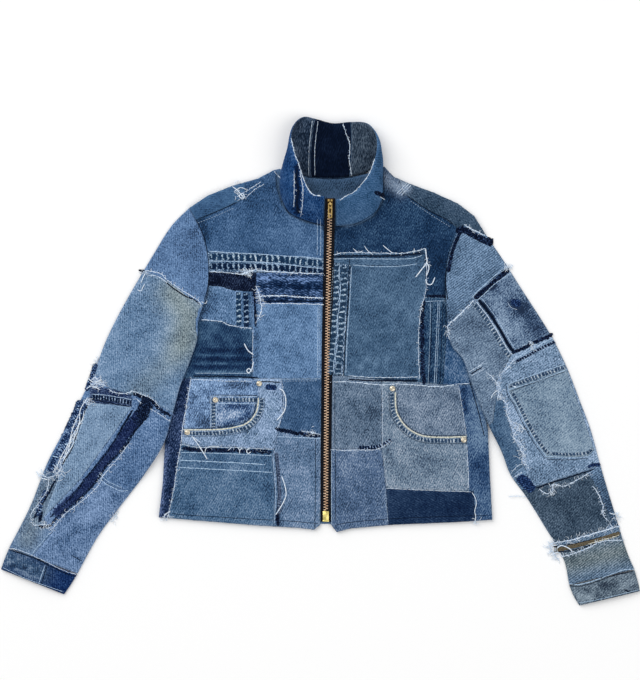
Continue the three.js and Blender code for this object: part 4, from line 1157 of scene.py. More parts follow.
LEFT_SLEEVE_PATCHES = [
    ("sleeve_jeans_patch_left", "mid_denim", "jeans_sleeve", -25, [
        (241, 103), (304, 156), (340, 130), (385, 46), (340, 28), (305, 11), (275, 55),
        (244, 92)], [([(328, 80), (348, 48)], 14, -0.3), ([(290, 70), (300, 40)], 12, 0.2),
      ([(307, 92), (322, 87)], 10, -0.5), ([(256, 106), (262, 111)], 4, -1.1),
      ([(273, 116), (279, 121)], 4, -0.9), ([(262, 92), (276, 70)], 4, -0.5)], {}),
    ("sleeve_grey_patch_left", "grey_denim", "grey_sleeve", -25, [
        (185, 52), (236, 85), (244, 92), (275, 55), (305, 11), (290, -18), (280, -35),
        (281, -60), (275, -98), (255, -115), (185, 0)], [([(255, -60)], 16, -0.1)], {}),
    ("sleeve_inner_patch_left", "dark_denim", "dark_sleeve", -25, [
        (281, -60), (292, -62), (300, -95), (310, -125), (322, -150), (325, -165), (295, -192),
        (255, -115), (275, -98)], [([(272, -105), (300, -160)], 12, -0.15)], {}),
    ("sleeve_field_patch_left", "light_denim", "field_sleeve", -22, [
        (305, 11), (340, 28), (385, 46), (460, -160), (427, -174), (338, -203), (325, -165),
        (322, -150), (310, -125), (300, -95), (292, -62), (281, -60), (280, -35), (290, -18)],
     [([(345, -175), (400, -165)], 14, -0.12)], {}),
    ("sleeve_pocket_left", "light_denim", "pocket_sleeve", -22, [
        (299, -38), (391, -8), (438, -142), (426, -152), (361, -155), (324, -93), (303, -56)],
     [([(395, -120)], 13, 0.2)], {}),
    ("sleeve_dark_patch_left", "dark_denim", "dark_patch", -16, [
        (310, -210), (338, -203), (427, -178), (441, -200), (465, -256), (455, -268),
        (366, -294)], [], {}),
]


# Rubbed and unfaded places on the cuffs
CUFF_MARKS = [
    ([(-500, -322), (-484, -318)], 3, 0.5), ([(-492, -327), (-470, -331)], 3, -0.4),
    ([(-478, -322), (-462, -332)], 3, 0.45), ([(-464, -340), (-450, -336)], 3, -0.4),
    ([(-487, -333), (-474, -339)], 2.5, 0.4),
    ([(415, -375), (432, -377)], 5, 0.3), ([(450, -358), (470, -357)], 5, -0.35),
    ([(480, -362), (500, -352)], 5, 0.3), ([(425, -366)], 4, -0.4), ([(462, -374)], 5, 0.25),
    ([(-490, -318), (-470, -326)], 4, -0.4), ([(-470, -341), (-452, -346)], 5, 0.35)]


def make_sleeves():
    sides = [
        ("right", RIGHT_SLEEVE, RIGHT_CUFF, RIGHT_SLEEVE_PATCHES, "cap_right", "cuff_right", 28, [
            ([(-206, 205), (-190, 150)], 9, -0.12), ([(-425, -185), (-480, -290)], 26, -0.1)],
         [([(-436, -200), (-470, -285)], 24, 1.0)], [([(-500, -312), (-452, -338)], 20, 1.0)]),
        ("left", LEFT_SLEEVE, LEFT_CUFF, LEFT_SLEEVE_PATCHES, "cap_left", "cuff_left", -25, [
            ([(205, 80), (215, 60)], 14, -0.2), ([(450, -190), (470, -250)], 16, -0.3),
            ([(212, 180), (206, 150)], 10, -0.15)],
         [([(388, -325), (440, -312), (498, -300)], 26, 1.0)], []),
    ]
    for side, sleeve, cuff, patches, cloth, cuff_cloth, grain, marks, washed, worn in sides:
        piece, size, area = sleeve_tube(f"sleeve_{side}_cloth", sleeve, 150, PLY, grain, marks,
                                        washed)
        dress(piece, DENIMS[cloth], [f"sleeve_{side}"])
        for node_name, slot, denim_name, turn, ring, patch_marks, more in patches:
            layer = 2 if "pocket" in node_name else 1
            patch, size, area = cut_piece(
                node_name + "_cloth", inset(ring, 0.15), sleeve.top(layer),
                within=inset(sleeve.outline, 0.5), grain=turn, marks=patch_marks, **more)
            dress(patch, DENIMS[denim_name], [node_name])
        end, size, area = sleeve_tube(f"cuff_{side}_cloth", cuff, 16, 2.0, grain, CUFF_MARKS, worn)
        dress(end, DENIMS[cuff_cloth], [f"cuff_{side}"])


# ------------------------------------------------------------------ the collar

# Stations round the collar from the right end of the zip to its left end:
# [neck seam, half height, rim]
COLLAR = np.array([
    [[5.4, 217, 4], [5.8, 238, 27], [6.4, 262, 42]],
    [[-22, 224, 4], [-24, 247, 27], [-14, 268, 43]],
    [[-47, 235, 4], [-43, 262, 27], [-26, 286, 43]],
    [[-59, 252, 4], [-52, 284, 27], [-35, 315, 42]],
    [[-65, 281, 4], [-57, 310, 25], [-43, 336, 40]],
    [[-60, 306, 4], [-53, 335, 22], [-47, 357, 33]],
    [[-46, 303, 2.5], [-48, 350, 15], [-41, 378, 22]],
    [[-30, 297.5, 2], [-36, 348, 5], [-26, 390, 10]],
    [[-14.5, 294.5, 2], [-14, 342, 4], [-8, 387, 8]],
    [[15, 293, 2], [16, 340, 4], [20, 380, 8]],
    [[46, 295, 2], [49, 340, 4], [48, 382, 8]],
    [[70, 300, 2], [76, 345, 6], [73, 380, 12]],
    [[88, 307, 2.5], [93, 345, 15], [86, 366, 23]],
    [[97, 308, 4], [97, 332, 22], [90, 346, 34]],
    [[98, 282, 4], [96, 306, 26], [86, 320, 41]],
    [[97, 256, 4], [93, 280, 27], [73, 291, 43]],
    [[84, 234, 4], [77, 256, 27], [57, 272, 43]],
    [[62, 222, 4], [57, 243, 27], [40, 262, 43]],
    [[23.8, 216, 4], [24.2, 237, 27], [24.8, 257, 42]],
], float)
COLLAR_BACK = 9
COLLAR_SEAM_RIGHT = 8
COLLAR_SEAM_LEFT = 10
COLLAR_END = len(COLLAR) - 1


def on_rail(level, stations):
    """Points on one of the collar's three rails, which run evenly between their stations."""
    rail = COLLAR[:, level]
    rail = np.vstack([2 * rail[0] - rail[1], rail, 2 * rail[-1] - rail[-2]])
    k = np.clip(np.floor(stations).astype(int), 0, COLLAR_END - 1)
    t = (np.clip(stations, 0, COLLAR_END) - k)[:, None]
    a, b, c, d = rail[k], rail[k + 1], rail[k + 2], rail[k + 3]
    before, here, after = (np.sqrt(np.linalg.norm(q - p, axis=1))[:, None]
                           for p, q in ((a, b), (b, c), (c, d)))
    start = ((b - a) / before - (c - a) / (before + here) + (c - b) / here) * here
    end = ((c - b) / here - (d - b) / (here + after) + (d - c) / after) * here
    return (b + start * t + (-3 * b + 3 * c - 2 * start - end) * t ** 2
            + (2 * b - 2 * c + start + end) * t ** 3)


def collar_point(stations, rise):
    seam, middle, rim = (on_rail(level, stations) for level in range(3))
    rise = np.asarray(rise, float)[:, None]
    return (seam * (1 - rise) * (1 - 2 * rise) + middle * 4 * rise * (1 - rise)
            + rim * rise * (2 * rise - 1))


def collar_normal(stations, rise):
    """Points out of the collar, away from the neck."""
    step = 0.02
    around = collar_point(stations + step, rise) - collar_point(stations - step, rise)
    up = collar_point(stations, np.minimum(rise + step, 1)) \
        - collar_point(stations, np.maximum(rise - step, 0))
    out = np.cross(up, around)
    return out / np.linalg.norm(out, axis=1)[:, None]


def collar_ply(name, first, last, low, high, marks=(), columns_each=11, rows=17):
    """One ply of the collar between two stations, from one offset to another."""
    stations = np.linspace(first, last, int((last - first) * columns_each) + 1)
    rises = np.linspace(0, 1, rows)
    s, r = (grid.ravel() for grid in np.meshgrid(stations, rises, indexing="ij"))
    place, out = collar_point(s, r), collar_normal(s, r)
    soft = 0.5 * np.sin(s * 2.9 + 2.2 * r) * np.sin(np.pi * r) + 0.35 * np.sin(s * 7.3 - 3 * r)
    ripple = (soft * np.sin(np.pi * r))[:, None]
    turned_in = 0.35 * (1 - smooth_step(0, 0.06, np.minimum(r, 1 - r)))[:, None]
    over = place + out * (high + 0.5 * ripple * (high > 0) - turned_in * (high > 0))
    under = place + out * (low + 0.5 * ripple * (high > 0) + turned_in * (high < 0))
    if high < 0:
        under = under + out * 0.3 * ripple
    count, wide = len(place), rows
    faces = []
    for i in range(len(stations) - 1):
        for k in range(rows - 1):
            a, b, c, d = i * wide + k, (i + 1) * wide + k, (i + 1) * wide + k + 1, i * wide + k + 1
            faces.append((a, b, c, d))
            faces.append((a + count, d + count, c + count, b + count))
    edge = [i * wide for i in range(len(stations))]
    edge += [(len(stations) - 1) * wide + k for k in range(1, rows)]
    edge += [i * wide + rows - 1 for i in reversed(range(len(stations) - 1))]
    edge += [k for k in reversed(range(1, rows - 1))]
    for a, b in zip(edge, edge[1:] + edge[:1]):
        faces.append((b, a, a + count, b + count))
    points = np.vstack([over, under])
    faces = facing_out(points, faces)
    run = np.concatenate([[0], np.cumsum(np.linalg.norm(np.diff(
        collar_point(stations, np.full(len(stations), 0.6)), axis=0), axis=1))])
    uv = np.column_stack([np.repeat(run, rows), r * COLLAR_RIM])
    rim = np.minimum(np.minimum(r, 1 - r) * COLLAR_RIM, np.minimum(uv[:, 0], run[-1] - uv[:, 0]))
    tone = soft_marks(place[:, :2], marks)
    piece = make_object(name, points, faces, np.vstack([uv, uv]),
                        {"tone": np.tile(tone, 2), "rim": np.tile(rim, 2)})
    SHOWN.append(piece)
    area = surface_of(place, [f for f in faces if max(f) < count])
    cells = place.reshape(len(stations), rows, 3)
    around = np.linalg.norm(np.diff(cells, axis=0), axis=2).sum(axis=0).max()
    height = np.linalg.norm(np.diff(cells, axis=1), axis=2).sum(axis=1).max()
    return piece, (around * MM, height * MM), area * MM * MM


def make_collar():
    joint = 0.02
    out, inside = (0.15, 1.3), (-1.4, -0.15)
    plies = [
        ("collar_outer_right", 0, COLLAR_BACK - joint, out, "collar_royal", "collar_blue", [
            ([(-37, 310), (-36, 270), (-36, 240)], 4, -0.9), ([(-60, 300), (-56, 250)], 10, 0.1),
            ([(-15, 255), (-3, 240)], 9, 0.18)]),
        ("collar_outer_left", COLLAR_BACK + joint, COLLAR_END, out, "collar_light", "collar_blue",
         [([(90, 330), (95, 290)], 7, -0.25), ([(60, 240)], 16, 0.1)]),
        ("collar_inner_right", 0, COLLAR_SEAM_RIGHT - joint, inside, "lining_right",
         "collar_lining", [([(-20, 300), (-18, 380)], 5, -0.2), ([(-38, 330)], 12, 0.2)]),
        ("collar_inner_back", COLLAR_SEAM_RIGHT + joint, COLLAR_SEAM_LEFT - joint, inside,
         "lining_back", "black_denim", []),
        ("collar_inner_left", COLLAR_SEAM_LEFT + joint, COLLAR_END, inside, "lining_left",
         "collar_lining", [([(80, 350), (82, 320)], 8, -0.15)]),
    ]
    for name, first, last, (low, high), cloth, slot, marks in plies:
        piece, size, area = collar_ply(name + "_cloth", first, last, low, high, marks)
        dress(piece, DENIMS[cloth], [name])


# ------------------------------------------------------------------ the zip

TAPE_PLY = 1
CHAIN_HALF = 3.8
CHAIN_THICK = 2.2
ON_TAPE = 1.3
BOX_LENGTH = 17
SLIDER_Y = 253
SLIDER_LENGTH = 15
SLIDER_WIDTH = 9.4
SLIDER_THICK = 4.4
PIN_RADIUS = 0.8
PIN_HEIGHT = 1.7
PULL_WIDTH = 6.4
PULL_LENGTH = 24
PULL_THICK = 1.3
TOOTH_PITCH = 4.4        # of one side's teeth, drawn coarser than the real 2.8


def zip_point(y):
    """Points on the zip line, up the front and then up the slope of the collar."""
    y = np.asarray(y, float)
    foot = NECK_FRONT - 12
    flat = FRONT_BOTTOM + drape(np.column_stack([zip_x(np.minimum(y, foot)),
                                                 np.minimum(y, foot)]))
    rise = np.maximum(y - foot, 0) / (RIM_FRONT - foot)
    z = flat + (41 - flat) * (1.3 * rise - 0.3 * rise ** 4)
    return np.column_stack([zip_x(y), y, z])


def zip_normal(y):
    along = zip_point(np.asarray(y, float) + 2) - zip_point(np.asarray(y, float) - 2)
    out = np.column_stack([np.zeros(len(along)), -along[:, 2], along[:, 1]])
    return out / np.linalg.norm(out, axis=1)[:, None]


def zip_tape(name, left, right):
    stops = np.arange(ZIP_BOTTOM, RIM_FRONT - 1.9, 3.0)
    line, out = zip_point(stops), zip_normal(stops)
    shares = np.linspace(left, right, 6)
    points = []
    for offset in (TAPE_PLY, 0.0):
        for x in shares:
            points.append(line + out * offset + np.array([x, 0, 0]))
    ring = [*range(6), *reversed(range(6, 12))]
    count = len(stops)
    faces = []
    for i in range(count - 1):
        for a, b in zip(ring, ring[1:] + ring[:1]):
            faces.append((a * count + i, b * count + i, b * count + i + 1, a * count + i + 1))
    faces.append(tuple(a * count for a in reversed(ring)))
    faces.append(tuple(a * count + count - 1 for a in ring))
    points = np.vstack(points)
    faces = facing_out(points, faces)
    uv = np.column_stack([np.repeat(np.tile(shares, 2), count), np.tile(stops, 12)])
    piece = make_object(name, points, faces, uv, {"tone": np.zeros(len(points))}, smooth=False)
    SHOWN.append(piece)
    return piece, float(np.linalg.norm(np.diff(line, axis=0), axis=1).sum()) * MM


def woven_tape():
    """Polyester zip tape: a close black herringbone, faintly shiny, its ribs 1.5 mm apart."""
    material, tree = new_material("black woven zip tape")
    weave = node(tree, "ShaderNodeUVMap", uv_map="weave").outputs[0]
    ribs = node(tree, "ShaderNodeTexWave", {"Scale": 1000 * TRIANGLE_PERIOD / 1.5,
                                            "Distortion": 1.2, "Detail": 1},
                {"Vector": weave}, wave_type="BANDS", bands_direction="X")
    lint = node(tree, "ShaderNodeTexNoise", {"Scale": 1000 / 2.4, "Detail": 2},
                {"Vector": weave}, noise_dimensions="2D")
    total = weighed_sum(tree, ribs.outputs["Fac"], [(lint.outputs["Fac"], 1.0)])
    colour = ramp_of(tree, total, [(0.1, "#030305"), (0.6, "#0d0c10"), (1.0, "#2a2a33")])
    finish_cloth(tree, colour, total, 0.75, 0.2, 0.5, 0.05)
    return material


def start_hard_piece(add, **place):
    """Deselects everything, adds a primitive in millimetres and returns it."""
    if bpy.context.object and bpy.context.object.mode != "OBJECT":
        bpy.ops.object.mode_set(mode="OBJECT")
    bpy.ops.object.select_all(action="DESELECT")
    add(**place)
    return bpy.context.object


def apply_modifier(piece, kind, **settings):
    bpy.ops.object.select_all(action="DESELECT")
    piece.select_set(True)
    bpy.context.view_layer.objects.active = piece
    made = piece.modifiers.new(kind.lower(), kind)
    for key, value in settings.items():
        setattr(made, key, value)
    bpy.ops.object.modifier_apply(modifier=made.name)


def settle_transform(piece):
    bpy.ops.object.select_all(action="DESELECT")
    piece.select_set(True)
    bpy.context.view_layer.objects.active = piece
    bpy.ops.object.transform_apply(location=True, rotation=True, scale=True)


def block(size, centre, bevel, segments=2):
    """A bevelled block, in millimetres."""
    piece = start_hard_piece(bpy.ops.mesh.primitive_cube_add, size=1, location=centre)
    piece.scale = size
    settle_transform(piece)
    if bevel:
        apply_modifier(piece, "BEVEL", width=bevel, segments=segments, limit_method="ANGLE")
    return piece


def join_pieces(name, pieces, place=Matrix.Identity(4)):
    """Joins hard pieces into one, puts them in place and turns millimetres to metres."""
    bpy.ops.object.select_all(action="DESELECT")
    for piece in pieces:
        piece.select_set(True)
    bpy.context.view_layer.objects.active = pieces[0]
    if len(pieces) > 1:
        bpy.ops.object.join()
    whole = bpy.context.object
    whole.name = name
    whole.data.name = name
    whole.data.transform(Matrix.Scale(MM, 4) @ place)
    for face in whole.data.polygons:
        face.use_smooth = True
    bpy.ops.object.select_all(action="DESELECT")
    whole.select_set(True)
    bpy.ops.object.shade_smooth_by_angle(angle=math.radians(35))
    return whole


def slider_slope():
    """The slider's own frame: on the tape, tilted with the slope of the collar."""
    place = zip_point([SLIDER_Y])[0]
    out = zip_normal([SLIDER_Y])[0]
    tilt = math.atan2(-out[1], out[2])
    return Matrix.Translation(Vector(place + out * (ON_TAPE + 0.4))) @ Matrix.Rotation(tilt, 4, "X")


def make_slider(brass, shade):
    body = block((SLIDER_WIDTH, SLIDER_LENGTH, SLIDER_THICK), (0, 0, SLIDER_THICK / 2), 0)
    bpy.ops.object.mode_set(mode="EDIT")
    work = bmesh.from_edit_mesh(body.data)
    for face in work.faces:
        face.select = abs(face.normal.y) < 0.5
    bpy.ops.mesh.subdivide(number_cuts=3)
    for vert in work.verts:
        share = vert.co.y / (SLIDER_LENGTH / 2)
        narrow = 0.86 - 0.1 * math.cos(math.pi * share) if share > -0.9 else 0.72
        vert.co.x *= narrow + (0.14 if share > 0.3 else 0)
    bmesh.update_edit_mesh(body.data)
    bpy.ops.object.mode_set(mode="OBJECT")
    apply_modifier(body, "BEVEL", width=0.7, segments=2, limit_method="ANGLE")
    # the body takes the dark gold of painted shade
    body.data.materials.append(shade)
    horns = [block((2.6, 3.4, 1.0), (x, 5.2, SLIDER_THICK + 0.1), 0.4, 3) for x in (-2.3, 2.3)]
    foot = block((SLIDER_WIDTH * 0.6, 1.6, 0.8), (0, -6.2, SLIDER_THICK), 0.3)
    crown = start_hard_piece(
        bpy.ops.mesh.primitive_torus_add, major_radius=2.5, minor_radius=0.9, major_segments=24,
        minor_segments=8, location=(0, 0, SLIDER_THICK + PIN_HEIGHT - 0.3),
        rotation=(0, math.pi / 2, 0))
    settle_transform(crown)
    for part in (*horns, foot, crown):
        part.data.materials.append(brass)
    piece = join_pieces("slider_metal", [body, *horns, foot, crown], slider_slope())
    return dress(piece, brass, ["zip_slider"])


def make_pull(brass, shade):
    arm = PULL_WIDTH / 2 - 0.8
    tab = block((PULL_WIDTH, PULL_LENGTH - 6, PULL_THICK), (0, -6 - (PULL_LENGTH - 6) / 2, 0), 0)
    tab.data.materials.append(brass)
    slot = block((3.2, 5.0, 4), (0, -PULL_LENGTH + 4.4, 0), 1.1, 3)
    dent = block((3.6, 7.6, 1), (0, -11.4, PULL_THICK / 2 + 0.1), 0.3)
    # the faces cut by the slot and the dent take the dark gold: painted shade in the hole and the
    # recess
    for cutter in (slot, dent):
        cutter.data.materials.append(shade)
        apply_modifier(tab, "BOOLEAN", object=cutter, operation="DIFFERENCE", solver="EXACT",
                       material_mode="TRANSFER")
        bpy.data.objects.remove(cutter)
    apply_modifier(tab, "BEVEL", width=0.28, segments=2, limit_method="ANGLE")
    arms = [block((1.6, 7.6, PULL_THICK), (x, -2.9, 0), 0.3) for x in (-arm, arm)]
    pin = start_hard_piece(bpy.ops.mesh.primitive_cylinder_add, radius=PIN_RADIUS, vertices=14,
                           depth=PULL_WIDTH - 1, rotation=(0, math.pi / 2, 0))
    settle_transform(pin)
    up = Matrix.Translation((0, 0, SLIDER_THICK + PIN_HEIGHT))
    for part in (*arms, pin):
        part.data.materials.append(brass)
    piece = join_pieces("pull_tab_metal", [tab, *arms, pin], slider_slope() @ up)
    return dress(piece, brass, ["zip_pull"], "pull")


def make_box(brass):
    shell = block((9.6, BOX_LENGTH, 4), (0, 0, 2), 0.6)
    ridge = block((6.2, BOX_LENGTH - 5, 0.8), (0, 0.6, 4.0), 0.3)
    pin = block((1.8, BOX_LENGTH - 2, 0.8), (0, 0, 4.5), 0.3)
    foot = block((10.2, 2.4, 4.4), (0, -BOX_LENGTH / 2 + 1.6, 2.2), 0.5)
    middle = ZIP_BOTTOM + BOX_LENGTH / 2
    place = zip_point([middle])[0] + np.array([0, 0, ON_TAPE])
    piece = join_pieces("zip_box_metal", [shell, ridge, pin, foot], Matrix.Translation(place))
    return dress(piece, brass, ["zip_box"])


def make_teeth(brass):
    """Stamped teeth, left and right in turn, from one tooth modelled once."""
    tooth = block((CHAIN_HALF + 0.6, 1.9, CHAIN_THICK), (CHAIN_HALF / 2 - 0.3, 0, CHAIN_THICK / 2),
                  0.45, 1)
    shape = np.array([v.co for v in tooth.data.vertices])
    shape[shape[:, 0] < 0, 2] *= 0.86
    sides = [tuple(f.vertices) for f in tooth.data.polygons]
    bpy.data.objects.remove(tooth)
    points, faces = [], []
    start, end = ZIP_BOTTOM + BOX_LENGTH + 2, SLIDER_Y - SLIDER_LENGTH / 2 - 1.5
    for side, shift in ((-1, 0.0), (1, TOOTH_PITCH / 2)):
        for y in np.arange(start + shift, end, TOOTH_PITCH):
            out = zip_normal([y])[0]
            along = np.array([0, out[2], -out[1]])
            origin = zip_point([y])[0] + out * ON_TAPE
            local = shape * np.array([side, 1, 1])
            count = sum(len(p) for p in points)
            points.append(origin + local[:, :1] * np.array([1.0, 0, 0]) + local[:, 1:2] * along
                          + local[:, 2:] * out)
            turn = sides if side > 0 else [f[::-1] for f in sides]
            faces.extend(tuple(v + count for v in f) for f in turn)
    piece = make_object("zip_teeth_metal", np.vstack(points), faces, smooth=False)
    return dress(piece, brass, ["zip_chain"])


def make_zip():
    tape = woven_tape()
    for side, left, right in (("right", -ZIP_HALF + 0.4, -0.2), ("left", 0.2, ZIP_HALF - 0.4)):
        piece, length = zip_tape(f"zip_tape_{side}_woven", left, right)
        dress(piece, tape, [f"zip_tape_{side}"])
    copper = metal("antique copper brass teeth", "#b18460", "#ffe6cc", 0.4, 1.6)
    gold = metal("gold plated zinc", "#9c7a38", "#fbdc94", 0.3)
    pale = metal("bright gold box", "#d9c45c", "#fff3a8", 0.28)
    make_teeth(copper)
    # painted shade: a near-black gold for the slider body and for the walls of the pull's slot and
    # dent, dark where shade falls
    shade = metal("dark gold for painted shade", "#1d140a", "#6b5028", 0.5)
    make_slider(gold, shade)
    make_pull(gold, shade)
    make_box(pale)


# ------------------------------------------------------------------ rivets

RIVET_RADIUS = 4.5
RIVETS = [
    ("rivet_right_top", -98, -36), ("rivet_right_coin", -168, -62),
    ("rivet_right_side", -213, -114), ("rivet_left_top", 115, -44), ("rivet_left_side", 229, -126)]


def make_rivets(ground):
    """Domed copper rivets worn to pale brass, with a raised nub in a dished ring."""
    finish = metal("worn pale brass rivet", "#8f8472", "#f4ecd8", 0.42, 1.8)
    for name, x, y in RIVETS:
        cap = start_hard_piece(bpy.ops.mesh.primitive_cylinder_add, radius=RIVET_RADIUS,
                               vertices=28, depth=1.0, location=(0, 0, 0.5))
        settle_transform(cap)
        bpy.ops.object.mode_set(mode="EDIT")
        work = bmesh.from_edit_mesh(cap.data)
        for face in work.faces:
            face.select = face.normal.z > 0.9
        bpy.ops.mesh.inset(thickness=0.9)
        bpy.ops.transform.translate(value=(0, 0, 0.5))
        bpy.ops.mesh.inset(thickness=0.8)
        bpy.ops.transform.translate(value=(0, 0, -0.35))
        bpy.ops.mesh.inset(thickness=1.0)
        bpy.ops.transform.translate(value=(0, 0, 0.55))
        bpy.ops.object.mode_set(mode="OBJECT")
        apply_modifier(cap, "BEVEL", width=0.22, segments=2, limit_method="ANGLE",
                       angle_limit=math.radians(25))
        top = ground(np.array([[x, y]]))[0]
        piece = join_pieces(name + "_metal", [cap], Matrix.Translation((x, y, top)))
        dress(piece, finish, [name])


# ------------------------------------------------------------------ what is sewn and frayed

# Frayed raw edges: width, length of their weft ends, distance between those, line
RAW_EDGES = [
    # right front
    (1.8, 3, 4, [(-178, 143), (-150, 141.5), (-124, 138)]),
    (2.6, 4, 2, [(-104, 146), (-80, 143), (-40, 141), (5, 139.5)]),
    (4.5, 9, 1.1, [(-128, 139), (-116, 142), (-104, 147)]),
    (2.6, 3, 3, [(-100, 103), (-60, 104.5), (-30, 102), (5, 101)]),
    (2.0, 0, 9, [(-97, 91.5), (-50, 92), (5, 90.5)]),
    (2.6, 7, 1.5, [(-103, 120), (-99, 108), (-96, 96), (-94, 84), (-97, 74), (-100, 66)]),
    (1.8, 2.5, 5, [(-190, 66), (-175, 65), (-157, 63), (-150, 58.5), (-134, 55), (-109, 52)]),
    (1.3, 2, 6, [(-108, 50), (-108.5, 10), (-108, -18)]),
    (1.5, 2, 6, [(-206, -29), (-170, -31), (-140, -32), (-108, -32)]),
    (2.0, 4, 3, [(-207, -29), (-211, -52), (-216, -82), (-220, -102), (-222.5, -130)]),
    (1.8, 4, 4, [(-223, -132), (-225, -144), (-229, -168), (-232, -189), (-236, -213),
                 (-240, -231), (-246, -255)]),
    (2.2, 3.5, 2.2, [(-30, -112), (-15, -114), (0, -118)]),
    (1.2, 3, 4, [(-62, -32), (-59, -60), (-62, -90), (-70, -108)]),
    (1.3, 4, 4, [(-221, -133), (-194, -138), (-135, -138), (-100, -140), (-76, -141)]),
    (1.6, 3, 4, [(-134, 262), (-120, 271), (-96, 286)]),
    (1.4, 2, 6, [(-121, 260), (-104, 275), (-90, 283)]),
    (1.6, 2, 5, [(-74, 303), (-64, 292)]),
    # left front
    (2.0, 3, 5, [(21, 170), (35, 173), (50, 173.5), (85, 173), (130, 172.5), (153, 176),
                 (168, 180)]),
    (1.6, 3, 4, [(169, 158), (169.5, 140), (169, 116), (166, 101), (160, 80), (157, 46),
                 (157, 6), (159, -28)]),
    (1.8, 0, 9, [(45, -23.5), (80, -26), (130, -26), (155, -25)]),
    (2.2, 2, 8, [(16, -34), (37, -33), (66, -35), (95, -38), (124, -37), (158, -39),
                 (191, -41), (214, -38)]),
    (1.8, 2, 8, [(216, -37), (238, -36)]),
    (1.6, 2.5, 3, [(17, -141), (40, -143), (60, -142)]),
    (1.6, 3, 2.5, [(62, -142), (85, -142), (100, -137), (112, -128)]),
    (1.3, 0, 9, [(105, -203.5), (167, -206.5), (240, -209)]),
    (1.3, 1.5, 6, [(221, -40), (227, -78), (233, -120)]),
    (1.5, 0, 9, [(234, -134), (236, -170), (237, -203)]),
    (1.1, 3, 4, [(98.5, -42), (99, -80), (99, -138)]),
    (1.6, 0, 9, [(122, 268), (138, 284.5)]),
    (1.6, 0, 9, [(125.5, 266.5), (141.5, 283)]),
    (1.6, 0, 9, [(129, 265), (145, 281)]),
    # collar
    (2.4, 2.5, 5, [(-47, 355), (-41, 330), (-35, 315), (-31, 301), (-25, 285), (-19, 272),
                   (-11, 265), (0, 263)]),
    (1.6, 3, 3, [(-33, 302), (-28, 274), (-29, 250), (-31, 233)]),
    (1.4, 3, 3, [(-42, 300), (-42, 258), (-43, 246)]),
    (1.9, 2, 4, [(31, 256), (41, 263), (52, 268), (61, 277), (73, 291), (81, 306), (86, 322)]),
    (1.2, 0, 9, [(-19, 297), (-18, 340), (-13, 384)]),
    (1.4, 0, 9, [(-9, 297), (-9, 340), (-4, 383)]),
    (2.0, 2, 3, [(50, 297), (46, 322), (47, 346), (41, 363), (36, 379)]),
    # right sleeve
    (2.2, 5, 3, [(-282, 145), (-268, 143), (-255, 139), (-247, 131), (-233, 121), (-220, 112),
                 (-205, 103), (-196, 98), (-190, 89)]),
    (1.8, 4, 5, [(-276, 137), (-262, 136), (-247, 127)]),
    (2.6, 7, 1.4, [(-366, -30), (-360, -26), (-355, -33), (-345, -36)]),
    (2.6, 7, 1.4, [(-370, -38), (-358, -36), (-344, -39)]),
    (1.6, 4, 2.5, [(-302, -47), (-284, -54), (-269, -61), (-257, -73)]),
    (1.8, 4, 3, [(-338, -45), (-330, -50), (-315, -52), (-306, -50), (-300, -48)]),
    (1.8, 4, 4, [(-295, -60), (-285, -68), (-278, -74), (-265, -80), (-250, -90), (-240, -96)]),
    (2.2, 8, 2, [(-368, -60), (-382, -75), (-390, -95), (-388, -108), (-400, -130),
                 (-410, -152), (-416, -160), (-415, -172), (-424, -182), (-436, -186),
                 (-450, -182)]),
    (1.8, 6, 3, [(-434, -188), (-436, -202), (-440, -212), (-455, -233), (-463, -245),
                 (-462, -258), (-455, -263), (-440, -262), (-428, -272)]),
    (1.7, 6, 3, [(-306, -132), (-326, -158), (-348, -184), (-353, -196), (-372, -216),
                 (-392, -232), (-410, -246), (-428, -268)]),
    (1.6, 0, 9, [(-497, -299), (-480, -303), (-460, -311), (-435, -323), (-410, -335),
                 (-391, -341)]),
    (1.4, 8, 1.8, [(-323, -240), (-330, -250)]),
    (1.4, 6, 2, [(-355, 5), (-361, -5), (-364, -17)]),
    # left sleeve
    (2.8, 5, 2, [(230, 218), (240, 212), (250, 207), (263, 201)]),
    (2.8, 5, 2, [(202, 54), (208, 62), (215, 67), (225, 77), (235, 87), (246, 97)]),
    (2.2, 4, 2, [(203, 57), (204, 45), (206, 35)]),
    (1.8, 6, 1.5, [(296, 151), (306, 150)]),
    (2.0, 6, 1.8, [(336, 30), (340, 18)]),
    (1.0, 0, 9, [(299, 94), (304, 86), (314, 82)]),
    (1.5, 0, 9, [(236, -18), (260, -4)]),
    (1.5, 0, 9, [(240, -24), (262, -12)]),
    (1.9, 6, 2, [(310, 5), (300, -10), (290, -18), (284, -27)]),
    (2.1, 7, 1.8, [(268, -20), (276, -28), (287, -42), (284, -52), (288, -60), (296, -66),
                   (299, -75), (297, -83), (301, -92), (305, -100), (316, -106), (310, -116),
                   (308, -122), (316, -128), (322, -135), (320, -142), (326, -150),
                   (322, -157), (328, -163)]),
    (1.7, 4, 4, [(304, -180), (315, -168), (328, -165), (335, -175)]),
    (1.5, 3, 5, [(308, -187), (322, -178)]),
    (3.6, 0, 9, [(301, -38), (313, -42)]),
    (2.0, 6, 2, [(350, -205), (362, -212), (370, -207), (372, -197), (390, -200), (410, -190),
                 (425, -182), (430, -178)]),
    (1.9, 4, 3, [(436, -200), (447, -218), (452, -235), (450, -243), (458, -255)]),
    (3.0, 7, 1.6, [(368, -292), (400, -286), (440, -275), (478, -264)]),
    (2.2, 6, 2, [(385, -313), (405, -308), (425, -300), (445, -290), (460, -287), (484, -287)]),
    (1.8, 8, 1.6, [(366, -294), (372, -306), (381, -319)]),
    (1.4, 0, 9, [(455, -270), (470, -249)]),
    (1.4, 0, 9, [(457, -251), (469, -268)]),
]
